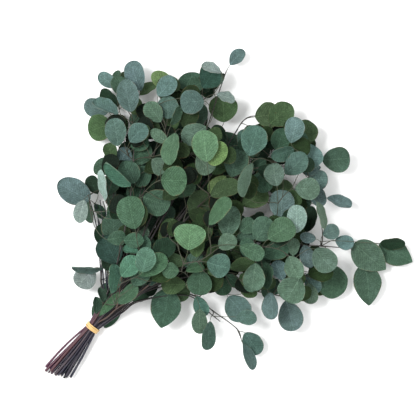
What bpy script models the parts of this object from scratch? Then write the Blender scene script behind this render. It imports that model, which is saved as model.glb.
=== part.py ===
"""A tied bunch of round-leaved eucalyptus branches, lying on its side on a table.

Metres, +Z up. The cut ends point along -X and the leafy tips along +X. Each branch is grown as one
piece: a stem, its twigs and its leaves. The plan lists where stems and leaves lie as seen from above,
on a grid whose y runs down the page, and the heights follow from a low dome.
"""

import math
import random
from collections import namedtuple

import bmesh
import bpy
from mathutils import Matrix, Vector
from mathutils.bvhtree import BVHTree

MM = 0.001

# The plan
PLAN_UNIT = 1.155 * MM  # 374 units from the cut ends to the furthest leaf make 432 mm
PLAN_MIDDLE = (208, 208)
VIEW_HEIGHT = 2.4  # the plan is drawn as seen from here, so what lies higher is drawn larger
AXIS_ON_PLAN = math.radians(45)  # the bunch's axis on the plan, which becomes +X
DOME_MIDDLE = (200, 205)
DOME_REACH = 185
DOME_TOP = 100 * MM
DOME_RIM = 22 * MM
TOP_LEVEL = 9  # a leaf's level runs from 1, near the table, to 9, on top of the dome
FLOOR_GAP = 0.5 * MM

# The stems and the tie
TIE_ON_PLAN = (92.5, 327.5)
TIE_HEIGHT = 13.4 * MM
BUNDLE_HEADING = math.radians(4)  # from +X, in the plan
BUNDLE_RISE = math.radians(5)
STEM_PITCH = 3 * MM  # from one stem's middle to the next inside the tie
STEM_RADIUS_CUT = 1.55 * MM
STEM_RADIUS_TIE = 1.3 * MM
STEM_RADIUS_TIP = 0.75 * MM
STEM_STEPS = 2  # points for each stretch of a stem's route
CUT_LENGTH = 67.5 * MM  # from the tie to the cut ends, in the middle of the bundle
CUT_SLANT = 3.2 * MM  # added to it for each place to the left
CUT_SPREAD = (2.5, 1.15)  # how far the stems splay sideways and upwards below the tie
CUT_SWING = 3.2 * MM  # how far the cut ends lie to the right of the bundle's own line
CUT_LOWEST = 2.1 * MM  # how low a cut end's middle may lie
FAN_START = 36 * MM  # beyond the tie, where each stem leaves the bundle
FAN_SPREAD = 2.4
TIE_CLEARANCE = 0.35 * MM
TIE_WIDTH = 5.6 * MM
TIE_THICKNESS = 0.9 * MM
TIE_TURNS = 3
TIE_POINTS = 20

# The leaves
BLADE_THICKNESS = 0.7 * MM
STALK_WIDTH = 1.2 * MM
TWIG_RADIUS = 0.95 * MM
STUB = 4 * MM  # the stretch of stalk that stays on a leaf when a twig carries it
SHORTEST_TWIG = 15 * MM  # a shorter stalk carries no other leaf
STALK_STEP = 22 * MM
SHORTEST_STALK = 3 * MM
LONGEST_STALK = 95 * MM
CLEARANCE = 0.75 * MM  # kept round each new leaf and stalk
NARROW = 0.6  # a leaf that looks narrower than this share of its length is rolled on its side
FULL_WIDTH = 0.8
HIDDEN_LEAVES = 14
DENSE_MIDDLE = (203, 205)  # on the plan, where hidden leaves grow within the reach of it
DENSE_REACH = 75
SEE_THROUGH = [(258, 208), (293, 180), (236, 125)]  # plan places where the table shows
SEE_THROUGH_REACH = 26
FLAT_LEAVES = [(137, 150), (300, 200), (283, 262), (190, 272), (150, 215)]  # plan places of resting leaves
SEED = 11
WELD = 0.001 * MM

# Each stem: its place in the tie as (sideways, row), then its route beyond as plan x, y and height in mm
BRANCHES = {
    "branch_low_right": (
        (-2, 0),
        [(140, 301, 22), (188, 294, 18), (213, 311, 12), (237, 329, 9), (242, 342, 8)],
    ),
    "branch_right_low": ((-1.5, -1), [(150, 290, 22), (205, 281, 22), (250, 290, 16), (281, 296, 11)]),
    "branch_right_middle": ((-1.5, 1), [(150, 288, 38), (205, 273, 35), (262, 268, 34), (308, 272, 20)]),
    "branch_far_right": (
        (-1, 0),
        [(150, 280, 44), (210, 253, 42), (270, 245, 38), (320, 246, 25), (354, 249, 14)],
    ),
    "branch_right_top": (
        (-0.5, 1),
        [(146, 287, 54), (180, 270, 49), (216, 247, 54), (262, 228, 49), (304, 214, 34)],
    ),
    "branch_right_under": ((0, -2), [(145, 280, 18), (200, 240, 14), (245, 205, 13), (268, 182, 11)]),
    "branch_right_upper": ((-0.5, -1), [(150, 272, 34), (210, 225, 37), (265, 198, 35), (312, 192, 24)]),
    "branch_crest": (
        (0, 2),
        [(148, 264, 66), (200, 205, 55), (250, 170, 50), (296, 166, 35), (316, 162, 22)],
    ),
    "branch_upper_right": (
        (0, 0),
        [(143, 264, 50), (195, 200, 44), (232, 138, 37), (247, 118, 28), (268, 116, 20)],
    ),
    "branch_long_top": (
        (0.5, 1),
        [(136, 266, 58), (172, 200, 48), (202, 140, 42), (219, 92, 30), (226, 72, 18)],
    ),
    "branch_top": ((1, 2), [(130, 264, 68), (160, 195, 57), (182, 140, 52), (202, 106, 38)]),
    "branch_top_middle": ((1, 0), [(124, 264, 44), (143, 195, 42), (158, 140, 38), (166, 108, 30)]),
    "branch_top_left": ((1.5, 1), [(117, 264, 58), (130, 200, 51), (134, 145, 44), (132, 118, 35)]),
    "branch_upper_left": ((1.5, -1), [(108, 270, 32), (113, 205, 35), (114, 158, 33), (112, 124, 24)]),
    "branch_left": ((2, 0), [(101, 280, 26), (103, 242, 28), (97, 214, 22), (95, 203, 18)]),
    "branch_left_under": ((0.5, -1), [(126, 270, 22), (150, 210, 16), (165, 160, 14), (172, 128, 12)]),
}

# Leaves as seen from above, on the plan: where the stalk meets the blade, the tip, the width and the level
ROUND_LEAVES = [
    # crown, left
    (116, 87, 99, 74, 14, 6), (117, 92, 117, 70, 12, 2), (121, 97, 126, 72, 13, 3),
    (141, 91, 131, 61, 20, 5), (131, 112, 125, 79, 22, 8), (119, 106, 101, 90, 14, 2),
    (108, 112, 84, 103, 19, 4), (118, 114, 93, 101, 13, 6), (113, 124, 88, 132, 27, 3),
    (118, 146, 113, 118, 21, 6), (127, 132, 121, 117, 10, 3), (130, 142, 146, 125, 20, 8),
    # crown, middle
    (174, 87, 152, 74, 17, 2), (158, 96, 174, 77, 19, 7), (140, 95, 156, 83, 11, 2),
    (193, 99, 191, 72, 29, 3), (203, 88, 216, 66, 26, 6), (221, 73, 202, 64, 11, 8),
    (214, 90, 223, 73, 10, 3), (200, 84, 213, 96, 14, 2), (204, 101, 180, 104, 24, 8),
    (184, 124, 206, 106, 24, 4), (168, 119, 168, 96, 21, 6), (171, 125, 180, 106, 8, 7),
    (161, 122, 146, 103, 18, 7), (152, 131, 131, 114, 20, 2), (206, 127, 182, 141, 22, 6),
    (207, 162, 203, 130, 26, 9), (206, 147, 226, 158, 25, 8), (197, 155, 212, 172, 20, 7),
    (226, 134, 211, 129, 12, 4), (224, 122, 223, 94, 29, 4), (217, 94, 235, 100, 11, 6),
    (230, 65, 244, 50, 14, 3),
    # upper right
    (255, 117, 279, 113, 26, 4), (270, 124, 292, 105, 24, 5), (291, 143, 296, 117, 20, 8),
    (296, 147, 312, 122, 24, 4), (278, 151, 284, 128, 20, 6), (249, 156, 258, 125, 26, 8),
    (251, 157, 244, 129, 20, 3), (294, 149, 271, 157, 14, 7), (285, 174, 306, 154, 21, 8),
    (300, 169, 317, 147, 27, 5), (322, 160, 350, 158, 26, 4), (309, 190, 325, 172, 20, 4),
    (295, 188, 320, 190, 22, 8), (312, 184, 323, 206, 16, 5), (327, 198, 352, 205, 12, 4),
    (317, 202, 326, 229, 9, 8), (306, 232, 312, 206, 14, 3), (323, 235, 339, 229, 16, 5),
    (335, 240, 354, 244, 15, 5),
    # right
    (379, 243, 404, 243, 12, 3), (315, 249, 334, 270, 24, 8), (332, 265, 332, 299, 31, 4),
    (306, 274, 318, 293, 16, 3), (308, 283, 312, 304, 17, 5), (304, 245, 311, 268, 15, 6),
    (316, 239, 300, 236, 11, 6), (296, 233, 297, 205, 20, 9), (281, 222, 283, 190, 25, 5),
    (271, 191, 293, 186, 18, 2), (277, 186, 273, 163, 20, 9), (268, 187, 254, 175, 16, 3),
    (268, 239, 294, 224, 24, 9), (242, 205, 268, 193, 21, 5), (248, 202, 236, 200, 14, 3),
    (252, 163, 242, 197, 11, 9), (266, 160, 251, 168, 14, 3), (231, 177, 241, 150, 25, 5),
    (217, 134, 243, 150, 20, 3), (211, 196, 240, 183, 18, 6), (226, 176, 209, 193, 16, 5),
    (205, 226, 198, 190, 27, 5), (209, 225, 229, 198, 15, 9), (226, 238, 234, 206, 22, 7),
    # middle and left
    (161, 180, 187, 180, 29, 9), (178, 197, 191, 178, 20, 5), (207, 193, 199, 173, 20, 2),
    (175, 133, 168, 165, 17, 9), (167, 142, 151, 130, 12, 7), (152, 156, 133, 150, 24, 5),
    (152, 159, 168, 172, 18, 6), (151, 172, 132, 180, 22, 4), (146, 188, 127, 196, 18, 3),
    (143, 197, 170, 206, 27, 7), (135, 229, 128, 196, 27, 9), (136, 226, 145, 240, 16, 6),
    (120, 216, 110, 178, 14, 2), (131, 186, 105, 163, 12, 9), (105, 201, 99, 170, 9, 8),
    (110, 172, 95, 163, 19, 4), (113, 160, 108, 143, 14, 4), (120, 169, 126, 147, 17, 3),
    (98, 194, 89, 176, 14, 3), (90, 200, 58, 182, 26, 5), (84, 200, 79, 223, 15, 6),
    (87, 200, 91, 223, 11, 3), (95, 204, 104, 219, 9, 3), (113, 241, 113, 214, 25, 5),
    (117, 263, 104, 236, 27, 6), (103, 268, 72, 267, 7, 6), (94, 268, 77, 286, 23, 4),
    # neck
    (112, 293, 116, 264, 13, 8), (122, 276, 138, 257, 19, 7), (138, 252, 123, 249, 8, 8),
    (142, 272, 148, 247, 20, 9), (139, 275, 166, 256, 20, 8), (137, 250, 138, 230, 8, 5),
    (179, 271, 162, 270, 16, 8), (148, 285, 165, 265, 12, 6), (150, 277, 135, 288, 11, 5),
    (118, 303, 138, 286, 14, 8), (118, 292, 102, 312, 12, 8), (104, 302, 100, 287, 7, 4),
    (97, 313, 98, 296, 9, 2), (108, 320, 119, 307, 10, 2), (132, 301, 146, 290, 10, 3),
    (158, 284, 146, 294, 12, 2),
    # lower middle
    (186, 284, 161, 285, 19, 4), (165, 251, 172, 218, 21, 5), (188, 250, 191, 224, 31, 9),
    (202, 249, 219, 239, 13, 3), (219, 248, 236, 237, 17, 8), (187, 263, 168, 254, 12, 5),
    (184, 266, 203, 255, 14, 6), (186, 271, 204, 266, 10, 7), (201, 270, 199, 295, 25, 7),
    (207, 262, 230, 268, 24, 9), (212, 281, 231, 291, 18, 3), (226, 275, 239, 286, 12, 4),
    (231, 252, 250, 258, 12, 5), (230, 268, 255, 263, 14, 6), (240, 246, 264, 257, 16, 9),
    (256, 263, 252, 291, 22, 8), (262, 268, 247, 291, 20, 5), (240, 286, 257, 295, 13, 3),
    (262, 286, 270, 298, 10, 2), (263, 256, 288, 246, 20, 6), (261, 248, 273, 238, 14, 4),
    (293, 256, 294, 238, 13, 6), (289, 256, 299, 279, 19, 9), (283, 280, 275, 261, 16, 5),
    (300, 277, 285, 301, 28, 7), (267, 289, 266, 262, 14, 4), (256, 240, 270, 218, 25, 8),
    (246, 222, 264, 214, 9, 5),
    # hanging spray
    (228, 297, 247, 319, 26, 3), (236, 317, 257, 319, 15, 6), (270, 292, 272, 319, 16, 5),
    (286, 300, 294, 331, 25, 4), (196, 296, 206, 316, 15, 3), (200, 309, 200, 334, 16, 5),
    (210, 321, 209, 350, 14, 5), (245, 333, 260, 354, 20, 3), (243, 344, 253, 370, 11, 6),
    # deep inside
    (186, 178, 188, 148, 22, 3), (172, 202, 185, 208, 14, 2), (185, 134, 175, 120, 13, 2),
    (160, 155, 150, 142, 12, 2), (128, 202, 117, 180, 16, 2), (238, 247, 245, 230, 14, 3),
]
POINTED_LEAVES = [
    (354, 243, 386, 270, 30, 6), (379, 244, 413, 262, 27, 5), (364, 263, 369, 306, 28, 4),
    (168, 288, 161, 328, 31, 3),
]

# How a blade's half width runs from stalk to tip: the powers that round its two ends
BASE_POWER = 0.6
ROUND_TIP = 0.45
POINTED_TIP = 0.85
BLADE_STATIONS = (0.0, 0.16, 0.5, 0.84, 1.0)

Leaf = namedtuple("Leaf", "base along across normal length width tip_power arch stalk")
Item = namedtuple("Item", "kind branch tree low high")
Perch = namedtuple("Perch", "branch twig point along")  # twig: the number of the leaf whose stalk it is on


def place(x, y, height):
    """The point seen at x, y on the plan when it lies at this height, with the bunch's axis along +X."""
    unit = PLAN_UNIT * (1 - height / VIEW_HEIGHT)
    flat = Vector(((x - PLAN_MIDDLE[0]) * unit, (PLAN_MIDDLE[1] - y) * unit, height))
    return Matrix.Rotation(-AXIS_ON_PLAN, 3, "Z") @ flat


def dome_height(x, y):
    """How high the foliage stands over a place on the plan."""
    off = math.dist((x, y), DOME_MIDDLE) / DOME_REACH
    return DOME_RIM + (DOME_TOP - DOME_RIM) * max(0.0, 1 - off * off)


def smooth_route(points, steps):
    """Points on a Catmull-Rom curve through these, with this many steps for each stretch."""
    ends = [2 * points[0] - points[1], *points, 2 * points[-1] - points[-2]]
    route = []
    for before, start, stop, after in zip(ends, ends[1:], ends[2:], ends[3:]):
        for step in range(steps):
            t = step / steps
            route.append(
                0.5
                * (
                    2 * start
                    + (stop - before) * t
                    + (2 * before - 5 * start + 4 * stop - after) * t**2
                    + (3 * start - before - 3 * stop + after) * t**3
                )
            )
    return [*route, points[-1]]


def bundle_frame():
    """The tie's middle, and the bundle's own directions there: along, sideways and up."""
    along = Vector((math.cos(BUNDLE_HEADING), math.sin(BUNDLE_HEADING), math.tan(BUNDLE_RISE))).normalized()
    sideways = Vector((0, 0, 1)).cross(along).normalized()
    return place(*TIE_ON_PLAN, TIE_HEIGHT), along, sideways, along.cross(sideways)


def stem_route(slot, route):
    """A stem's middle line, from its cut end through its place in the tie to its tip."""
    middle, along, sideways, up = bundle_frame()
    offset_side = slot[0] * STEM_PITCH
    offset_up = slot[1] * STEM_PITCH * math.sqrt(0.75)
    chance = random.Random(SEED + round(10 * slot[0] + 100 * slot[1]))
    length = CUT_LENGTH + slot[0] * CUT_SLANT + chance.uniform(-4, 4) * MM
    swing = chance.uniform(-1.2, 1.2) * MM - CUT_SWING
    in_tie = middle + sideways * offset_side + up * offset_up
    splay = sideways * (offset_side * CUT_SPREAD[0] + swing) + up * offset_up * CUT_SPREAD[1]
    cut = middle - along * length + splay
    cut.z = max(cut.z, CUT_LOWEST)
    fan = middle + along * FAN_START + (sideways * offset_side + up * offset_up) * FAN_SPREAD
    half_tie = along * TIE_WIDTH * 0.7
    beyond = [fan, *(place(x, y, z * MM) for x, y, z in route)]
    return [cut, in_tie - half_tie, *smooth_route([in_tie + half_tie, *beyond], STEM_STEPS)]


def tie_outline(away):
    """The bundle's outline inside the tie, this far out from the stems' middles, in the tie's own plane."""
    row_pitch = STEM_PITCH * math.sqrt(0.75)
    centres = [Vector((side * STEM_PITCH, row * row_pitch)) for (side, row), _ in BRANCHES.values()]
    loop = []
    for step in range(TIE_POINTS):
        turn = math.tau * step / TIE_POINTS
        out = Vector((math.cos(turn), math.sin(turn)))
        loop.append((max(centres, key=lambda centre: centre.dot(out)) + out * away).to_3d())
    return loop


def tie_matrix():
    """Carries the tie's own plane, with its axis along Z, to its place round the bundle."""
    middle, along, sideways, up = bundle_frame()
    turn = Matrix((sideways, up, along)).transposed()
    return Matrix.Translation(middle) @ turn.to_4x4()


def stem_radii(line):
    """The stem's radius at each point: thick at the cut, then tapering from the tie to the tip."""
    radii = []
    for number in range(len(line)):
        beyond = max(0, number - 2) / (len(line) - 3)
        radii.append(STEM_RADIUS_TIE + (STEM_RADIUS_TIP - STEM_RADIUS_TIE) * beyond)
    return [STEM_RADIUS_CUT, *radii[1:]]


def tube_shell(line, radius, sides=5):
    """Points and faces of a plain tube, for telling whether things touch."""
    points, faces = [], []
    for number, point in enumerate(line):
        ahead = (line[min(number + 1, len(line) - 1)] - line[max(number - 1, 0)]).normalized()
        side = ahead.orthogonal().normalized()
        other = ahead.cross(side)
        for corner in range(sides):
            turn = math.tau * corner / sides
            points.append(point + (side * math.cos(turn) + other * math.sin(turn)) * radius)
    for number in range(len(line) - 1):
        for corner in range(sides):
            a = number * sides + corner
            b = number * sides + (corner + 1) % sides
            faces.append((a, b, b + sides, a + sides))
    return points, faces


def half_width(leaf, share):
    """Half the blade's width at this share of its length."""
    widest = BASE_POWER / (BASE_POWER + leaf.tip_power)
    peak = widest**BASE_POWER * (1 - widest) ** leaf.tip_power
    share = min(max(share, 0.012), 0.988)
    return leaf.width / 2 * share**BASE_POWER * (1 - share) ** leaf.tip_power / peak


def blade_point(leaf, share, side=0.0):
    """A point on the blade, by its share of the length and of the half width there."""
    arch = leaf.normal * leaf.arch * leaf.length * 4 * share * (1 - share)
    return leaf.base + leaf.along * leaf.length * share + arch + leaf.across * side * half_width(leaf, share)


def blade_shell(leaf):
    """Points and faces of the blade grown by the clearance, for telling whether things touch."""
    points, faces = [], []
    grow = BLADE_THICKNESS / 2 + CLEARANCE
    for share in (0, 0.1, 0.3, 0.5, 0.7, 0.9, 1):
        middle = blade_point(leaf, share)
        reach = half_width(leaf, share) + CLEARANCE
        for side, lift in ((-1, -1), (1, -1), (1, 1), (-1, 1)):
            points.append(middle + leaf.across * side * reach + leaf.normal * lift * grow)
    for ring in range(6):
        for corner in range(4):
            a, b = ring * 4 + corner, ring * 4 + (corner + 1) % 4
            faces.append((a, b, b + 4, a + 4))
    return points, [*faces, (0, 1, 2, 3), (24, 25, 26, 27)]


def item_of(kind, branch, points, faces):
    low = [min(p[k] for p in points) for k in range(3)]
    high = [max(p[k] for p in points) for k in range(3)]
    return Item(kind, branch, BVHTree.FromPolygons(points, faces), low, high)


def tie_item():
    """The tie as something that leaves and stalks keep away from."""
    loop = tie_outline(STEM_RADIUS_TIE + 2 * TIE_THICKNESS)
    points = [tie_matrix() @ (point + Vector((0, 0, TIE_WIDTH * side))) for side in (-1, 1) for point in loop]
    faces = []
    for here in range(TIE_POINTS):
        ahead = (here + 1) % TIE_POINTS
        faces.append((here, ahead, ahead + TIE_POINTS, here + TIE_POINTS))
    return item_of("tie", "tie", points, faces)


def touches(new, items, spare=()):
    """Whether the new item meets any that is already there, apart from those to spare."""
    for old in items:
        if old in spare or any(new.low[k] > old.high[k] or old.low[k] > new.high[k] for k in range(3)):
            continue
        if new.tree.overlap(old.tree):
            return True
    return False


def stalk_line(perch, base, along):
    """A stalk from its perch to the blade, leaving forwards and arriving in line with the blade."""
    span = (base - perch.point).length
    leave = (perch.along * 0.6 + (base - perch.point).normalized() * 1.5).normalized() * span
    arrive = (along + (base - perch.point).normalized() * 0.8).normalized() * span
    count = 1 + round(span / STALK_STEP)
    line = []
    for step in range(count + 1):
        t = step / count
        line.append(
            perch.point * (2 * t**3 - 3 * t**2 + 1)
            + leave * (t**3 - 2 * t**2 + t)
            + base * (3 * t**2 - 2 * t**3)
            + arrive * (t**3 - t**2)
        )
    return line


def perch_cost(perch, base, along):
    """How natural it is for a leaf to hang on this perch: near it, ahead of it and in line with it."""
    gap = base - perch.point
    span = gap.length
    if not SHORTEST_STALK < span < LONGEST_STALK:
        return None
    ahead = gap.dot(perch.along) / span
    in_line = gap.dot(along) / span
    if in_line < 0.1:
        return None
    return span + 18 * MM * (1 - ahead) + 14 * MM * (1 - in_line)


class Bunch:
    """The whole layout: every stem, twig and leaf, none of them in each other's way."""

    def __init__(self):
        self.items, self.perches, self.leaves, self.stems = [], [], [], {}
        self.carriers = set()
        self.dropped = []
        for name, (slot, route) in BRANCHES.items():
            self.add_stem(name, stem_route(slot, route))
        self.items.append(tie_item())

    def add_stem(self, name, line):
        radii = stem_radii(line)
        self.stems[name] = (line, radii)
        self.items.append(item_of("stem", name, *tube_shell(line, STEM_RADIUS_TIE, 6)))
        for point, after in zip(line[3:], line[4:]):
            for share in (0, 0.3, 0.6):
                self.perches.append(Perch(name, None, point.lerp(after, share), (after - point).normalized()))
        self.perches.append(Perch(name, None, line[-1], (line[-1] - line[-2]).normalized()))

    def grow(self, base, tip, width, tip_power, roll, arch, lifts):
        """Adds a leaf at the first lift where it and its stalk are clear. It says whether it could."""
        for lift in lifts:
            raised = base + Vector((0, 0, lift))
            along = (tip - base).normalized()
            across = Matrix.Rotation(roll, 3, along) @ Vector((0, 0, 1)).cross(along).normalized()
            leaf = Leaf(
                raised, along, across, along.cross(across), (tip - base).length, width, tip_power, arch, None
            )
            points, faces = blade_shell(leaf)
            if min(p.z for p in points) < -CLEARANCE - 0.01 * MM:
                continue
            blade = item_of("blade", None, points, faces)
            if touches(blade, self.items):
                continue
            if self.hang(leaf, blade):
                return True
        return False

    def hang(self, leaf, blade):
        """Hangs a blade that is clear on the best perch whose stalk is clear too."""
        costs = [(perch_cost(perch, leaf.base, leaf.along), number) for number, perch in enumerate(self.perches)]
        best = sorted((cost, number) for cost, number in costs if cost is not None)[:40]
        for _, number in best:
            perch = self.perches[number]
            line = stalk_line(perch, leaf.base, leaf.along)
            if min(p.z for p in line[:-1]) < STALK_WIDTH:
                continue
            shell = item_of("stalk", perch.branch, *tube_shell(line, TWIG_RADIUS + CLEARANCE / 2, 4))
            own = [old for old in self.items if old.branch == perch.branch and old.kind != "blade"]
            if touches(shell, self.items, own):
                continue
            self.settle(leaf, blade, perch, line)
            return True
        return False

    def settle(self, leaf, blade, perch, line):
        """Keeps a leaf. Its stalk is a twig that others can hang on if it is long and off the table."""
        number = len(self.leaves)
        self.leaves.append((perch.branch, leaf._replace(stalk=line)))
        self.items.append(blade._replace(branch=perch.branch))
        self.items.append(item_of("stalk", perch.branch, *tube_shell(line, TWIG_RADIUS, 4)))
        if perch.twig is not None:
            self.carriers.add(perch.twig)
        if sum((b - a).length for a, b in zip(line, line[1:])) > SHORTEST_TWIG and leaf.base.z > 2 * STALK_WIDTH:
            for before, after in zip(line, line[1:]):
                for share in (0.25, 0.6):
                    direction = (after - before).normalized()
                    self.perches.append(Perch(perch.branch, number, before.lerp(after, share), direction))


def leaf_on_plan(bunch, row, tip_power, chance):
    """Grows the leaf of one row of the plan, tilted a little, as high as its level says."""
    base_x, base_y, tip_x, tip_y, width, level = row
    dome = dome_height((base_x + tip_x) / 2, (base_y + tip_y) / 2)
    height = FLOOR_GAP + 3 * MM + level / TOP_LEVEL * (dome - 6 * MM)
    length = math.dist((base_x, base_y), (tip_x, tip_y)) * PLAN_UNIT
    pitch = chance.uniform(-0.2, 0.12) * length
    base = place(base_x, base_y, height - pitch / 2)
    tip = place(tip_x, tip_y, max(height + pitch / 2, BLADE_THICKNESS))
    width *= PLAN_UNIT
    roll = chance.uniform(-0.24, 0.24)
    if width < NARROW * length:
        roll = math.copysign(math.acos(width / (FULL_WIDTH * length)), roll)
        width = FULL_WIDTH * length
    arch = chance.uniform(-0.03, 0.06)
    lifts = [step * side * 1.5 * MM for step in range(14) for side in ((1, -1) if step else (1,))]
    for ease in (1, 0.5, 0.2):
        if bunch.grow(base, tip, width, tip_power, roll * ease, arch * ease, lifts):
            return
    bunch.dropped.append(row)


def hidden_leaf(bunch, chance):
    """Grows a leaf under the dome, somewhere below one that shows."""
    row = chance.choice(ROUND_LEAVES)
    x = (row[0] + row[2]) / 2 + chance.uniform(-9, 9)
    y = (row[1] + row[3]) / 2 + chance.uniform(-9, 9)
    clear = min(math.dist((x, y), spot) for spot in SEE_THROUGH)
    if math.dist((x, y), DENSE_MIDDLE) > DENSE_REACH or clear < SEE_THROUGH_REACH:
        return False
    height = 3 * MM + chance.uniform(0.04, 0.5) * dome_height(x, y)
    turn = math.radians(chance.uniform(-55, 55)) + math.atan2(y - TIE_ON_PLAN[1], x - TIE_ON_PLAN[0])
    half = chance.uniform(11.5, 14)
    base = place(x - half * math.cos(turn), y - half * math.sin(turn), height + chance.uniform(0, 5) * MM)
    tip = place(x + half * math.cos(turn), y + half * math.sin(turn), max(height - chance.uniform(0, 4) * MM, MM))
    roll = chance.uniform(-0.35, 0.35)
    lifts = [step * 2 * MM for step in range(5)]
    width = 2 * half * chance.uniform(0.75, 0.95) * PLAN_UNIT
    return bunch.grow(base, tip, width, ROUND_TIP, roll, chance.uniform(0, 0.05), lifts)


def flat_leaf(bunch, x, y):
    """Grows a leaf that lies flat on the table, for the bunch to rest on."""
    half = 13
    turn = math.atan2(y - TIE_ON_PLAN[1], x - TIE_ON_PLAN[0])
    height = BLADE_THICKNESS / 2
    base = place(x - half * math.cos(turn), y - half * math.sin(turn), height)
    tip = place(x + half * math.cos(turn), y + half * math.sin(turn), height)
    return bunch.grow(base, tip, 0.85 * (tip - base).length, ROUND_TIP, 0, 0, [0])


def make_bunch():
    bunch = Bunch()
    chance = random.Random(SEED)
    for x, y in FLAT_LEAVES:
        if not flat_leaf(bunch, x, y):
            bunch.dropped.append(("flat", x, y))
    rows = [(row, ROUND_TIP) for row in ROUND_LEAVES] + [(row, POINTED_TIP) for row in POINTED_LEAVES]
    for row, tip_power in sorted(rows, key=lambda r: math.dist(r[0][:2], TIE_ON_PLAN)):
        leaf_on_plan(bunch, row, tip_power, chance)
    grown = 0
    for _ in range(12 * HIDDEN_LEAVES):
        grown += grown < HIDDEN_LEAVES and hidden_leaf(bunch, chance)
    return bunch


def clear_scene():
    for thing in list(bpy.data.objects):
        bpy.data.objects.remove(thing)


def plain_material(name, colour, roughness):
    material = bpy.data.materials.new(name)
    material.use_nodes = True
    shader = material.node_tree.nodes["Principled BSDF"]
    shader.inputs["Base Color"].default_value = (*colour, 1)
    shader.inputs["Roughness"].default_value = roughness
    shader.inputs["Metallic"].default_value = 0
    return material


def evaluated_mesh(thing):
    """The object's mesh with its modifiers applied."""
    bpy.context.view_layer.update()
    return bpy.data.meshes.new_from_object(thing.evaluated_get(bpy.context.evaluated_depsgraph_get()))


def welded_mesh(thing):
    """A curve object as a mesh whose caps are joined to its sides."""
    mesh = evaluated_mesh(thing)
    work = bmesh.new()
    work.from_mesh(mesh)
    bmesh.ops.remove_doubles(work, verts=work.verts, dist=WELD)
    bmesh.ops.recalc_face_normals(work, faces=work.faces)
    work.to_mesh(mesh)
    work.free()
    return mesh


def poly_curve(name, line, collection, radii=None, closed=False):
    """A curve object through these points."""
    curve = bpy.data.curves.new(name, "CURVE")
    curve.dimensions = "3D"
    curve.bevel_depth = MM
    curve.use_fill_caps = not closed
    spline = curve.splines.new("POLY")
    spline.use_cyclic_u = closed
    spline.points.add(len(line) - 1)
    for number, (point, place_on_line) in enumerate(zip(spline.points, line)):
        point.co = (*place_on_line, 1)
        point.radius = radii[number] / MM if radii else 1
    thing = bpy.data.objects.new(name, curve)
    collection.objects.link(thing)
    return thing


def as_mesh(thing, collection):
    """Turns a curve object into a closed mesh object of the same name."""
    name, mesh = thing.name, welded_mesh(thing)
    bpy.data.objects.remove(thing)
    solid = bpy.data.objects.new(name, mesh)
    collection.objects.link(solid)
    return solid


def tube(name, line, radii, collection, extra_sides=0):
    """A round stick along a line, with 4 sides and twice as many more."""
    thing = poly_curve(name, line, collection, radii)
    thing.data.bevel_resolution = extra_sides
    return as_mesh(thing, collection)


def stub_point(leaf):
    """Where a leaf's own stalk starts when a twig carries it."""
    last = leaf.stalk[-2] - leaf.stalk[-1]
    return leaf.stalk[-1] + last.normalized() * min(STUB, last.length * 0.8)


def leaf_strip(name, leaf, on_twig, collection):
    """One leaf as a thin strip: its stalk, narrow, and then the blade, which widens to its outline."""
    stalk = [stub_point(leaf)] if on_twig else leaf.stalk[:-1]
    count = len(stalk) + len(BLADE_STATIONS)
    middles = [*stalk, *(blade_point(leaf, share) for share in BLADE_STATIONS)]
    halves = [STALK_WIDTH / 2] * len(stalk) + [half_width(leaf, share) for share in BLADE_STATIONS]
    across = [leaf.across] * len(BLADE_STATIONS)
    for here, ahead in zip(reversed(stalk), reversed(middles[1 : len(stalk) + 1])):
        tangent = (ahead - here).normalized()
        across.insert(0, (across[0] - tangent * across[0].dot(tangent)).normalized())
    work = bmesh.new()
    bmesh.ops.create_grid(work, x_segments=count - 1, y_segments=1, size=1)
    for vertex in work.verts:
        number = round((vertex.co.x + 1) / 2 * (count - 1))
        vertex.co = middles[number] + across[number] * math.copysign(halves[number], vertex.co.y)
    bmesh.ops.triangulate(work, faces=work.faces)
    mesh = bpy.data.meshes.new(name)
    work.to_mesh(mesh)
    work.free()
    thing = bpy.data.objects.new(name, mesh)
    collection.objects.link(thing)
    shell = thing.modifiers.new("Blade", "SOLIDIFY")
    shell.thickness = BLADE_THICKNESS
    shell.offset = 0
    return thing


def branch(name, bunch, collection, material):
    """A whole branch in one body: the stem, with its twigs and leaves joined to it."""
    growth = bpy.data.collections.new(name + " growth")
    bpy.context.scene.collection.children.link(growth)
    for number, (owner, leaf) in enumerate(bunch.leaves):
        if owner == name:
            leaf_strip("leaf", leaf, number in bunch.carriers, growth)
            if number in bunch.carriers:
                tube("twig", leaf.stalk, [TWIG_RADIUS] * len(leaf.stalk), growth)
    line, radii = bunch.stems[name]
    stem = tube(name, line, radii, collection, extra_sides=1)
    union = stem.modifiers.new("Join", "BOOLEAN")
    union.operation = "UNION"
    union.operand_type = "COLLECTION"
    union.collection = growth
    union.solver = "MANIFOLD"
    stem.data = evaluated_mesh(stem)
    stem.modifiers.clear()
    for thing in list(growth.objects):
        bpy.data.objects.remove(thing)
    bpy.data.collections.remove(growth)
    stem.data.materials.clear()
    stem.data.materials.append(material)
    return stem


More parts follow.
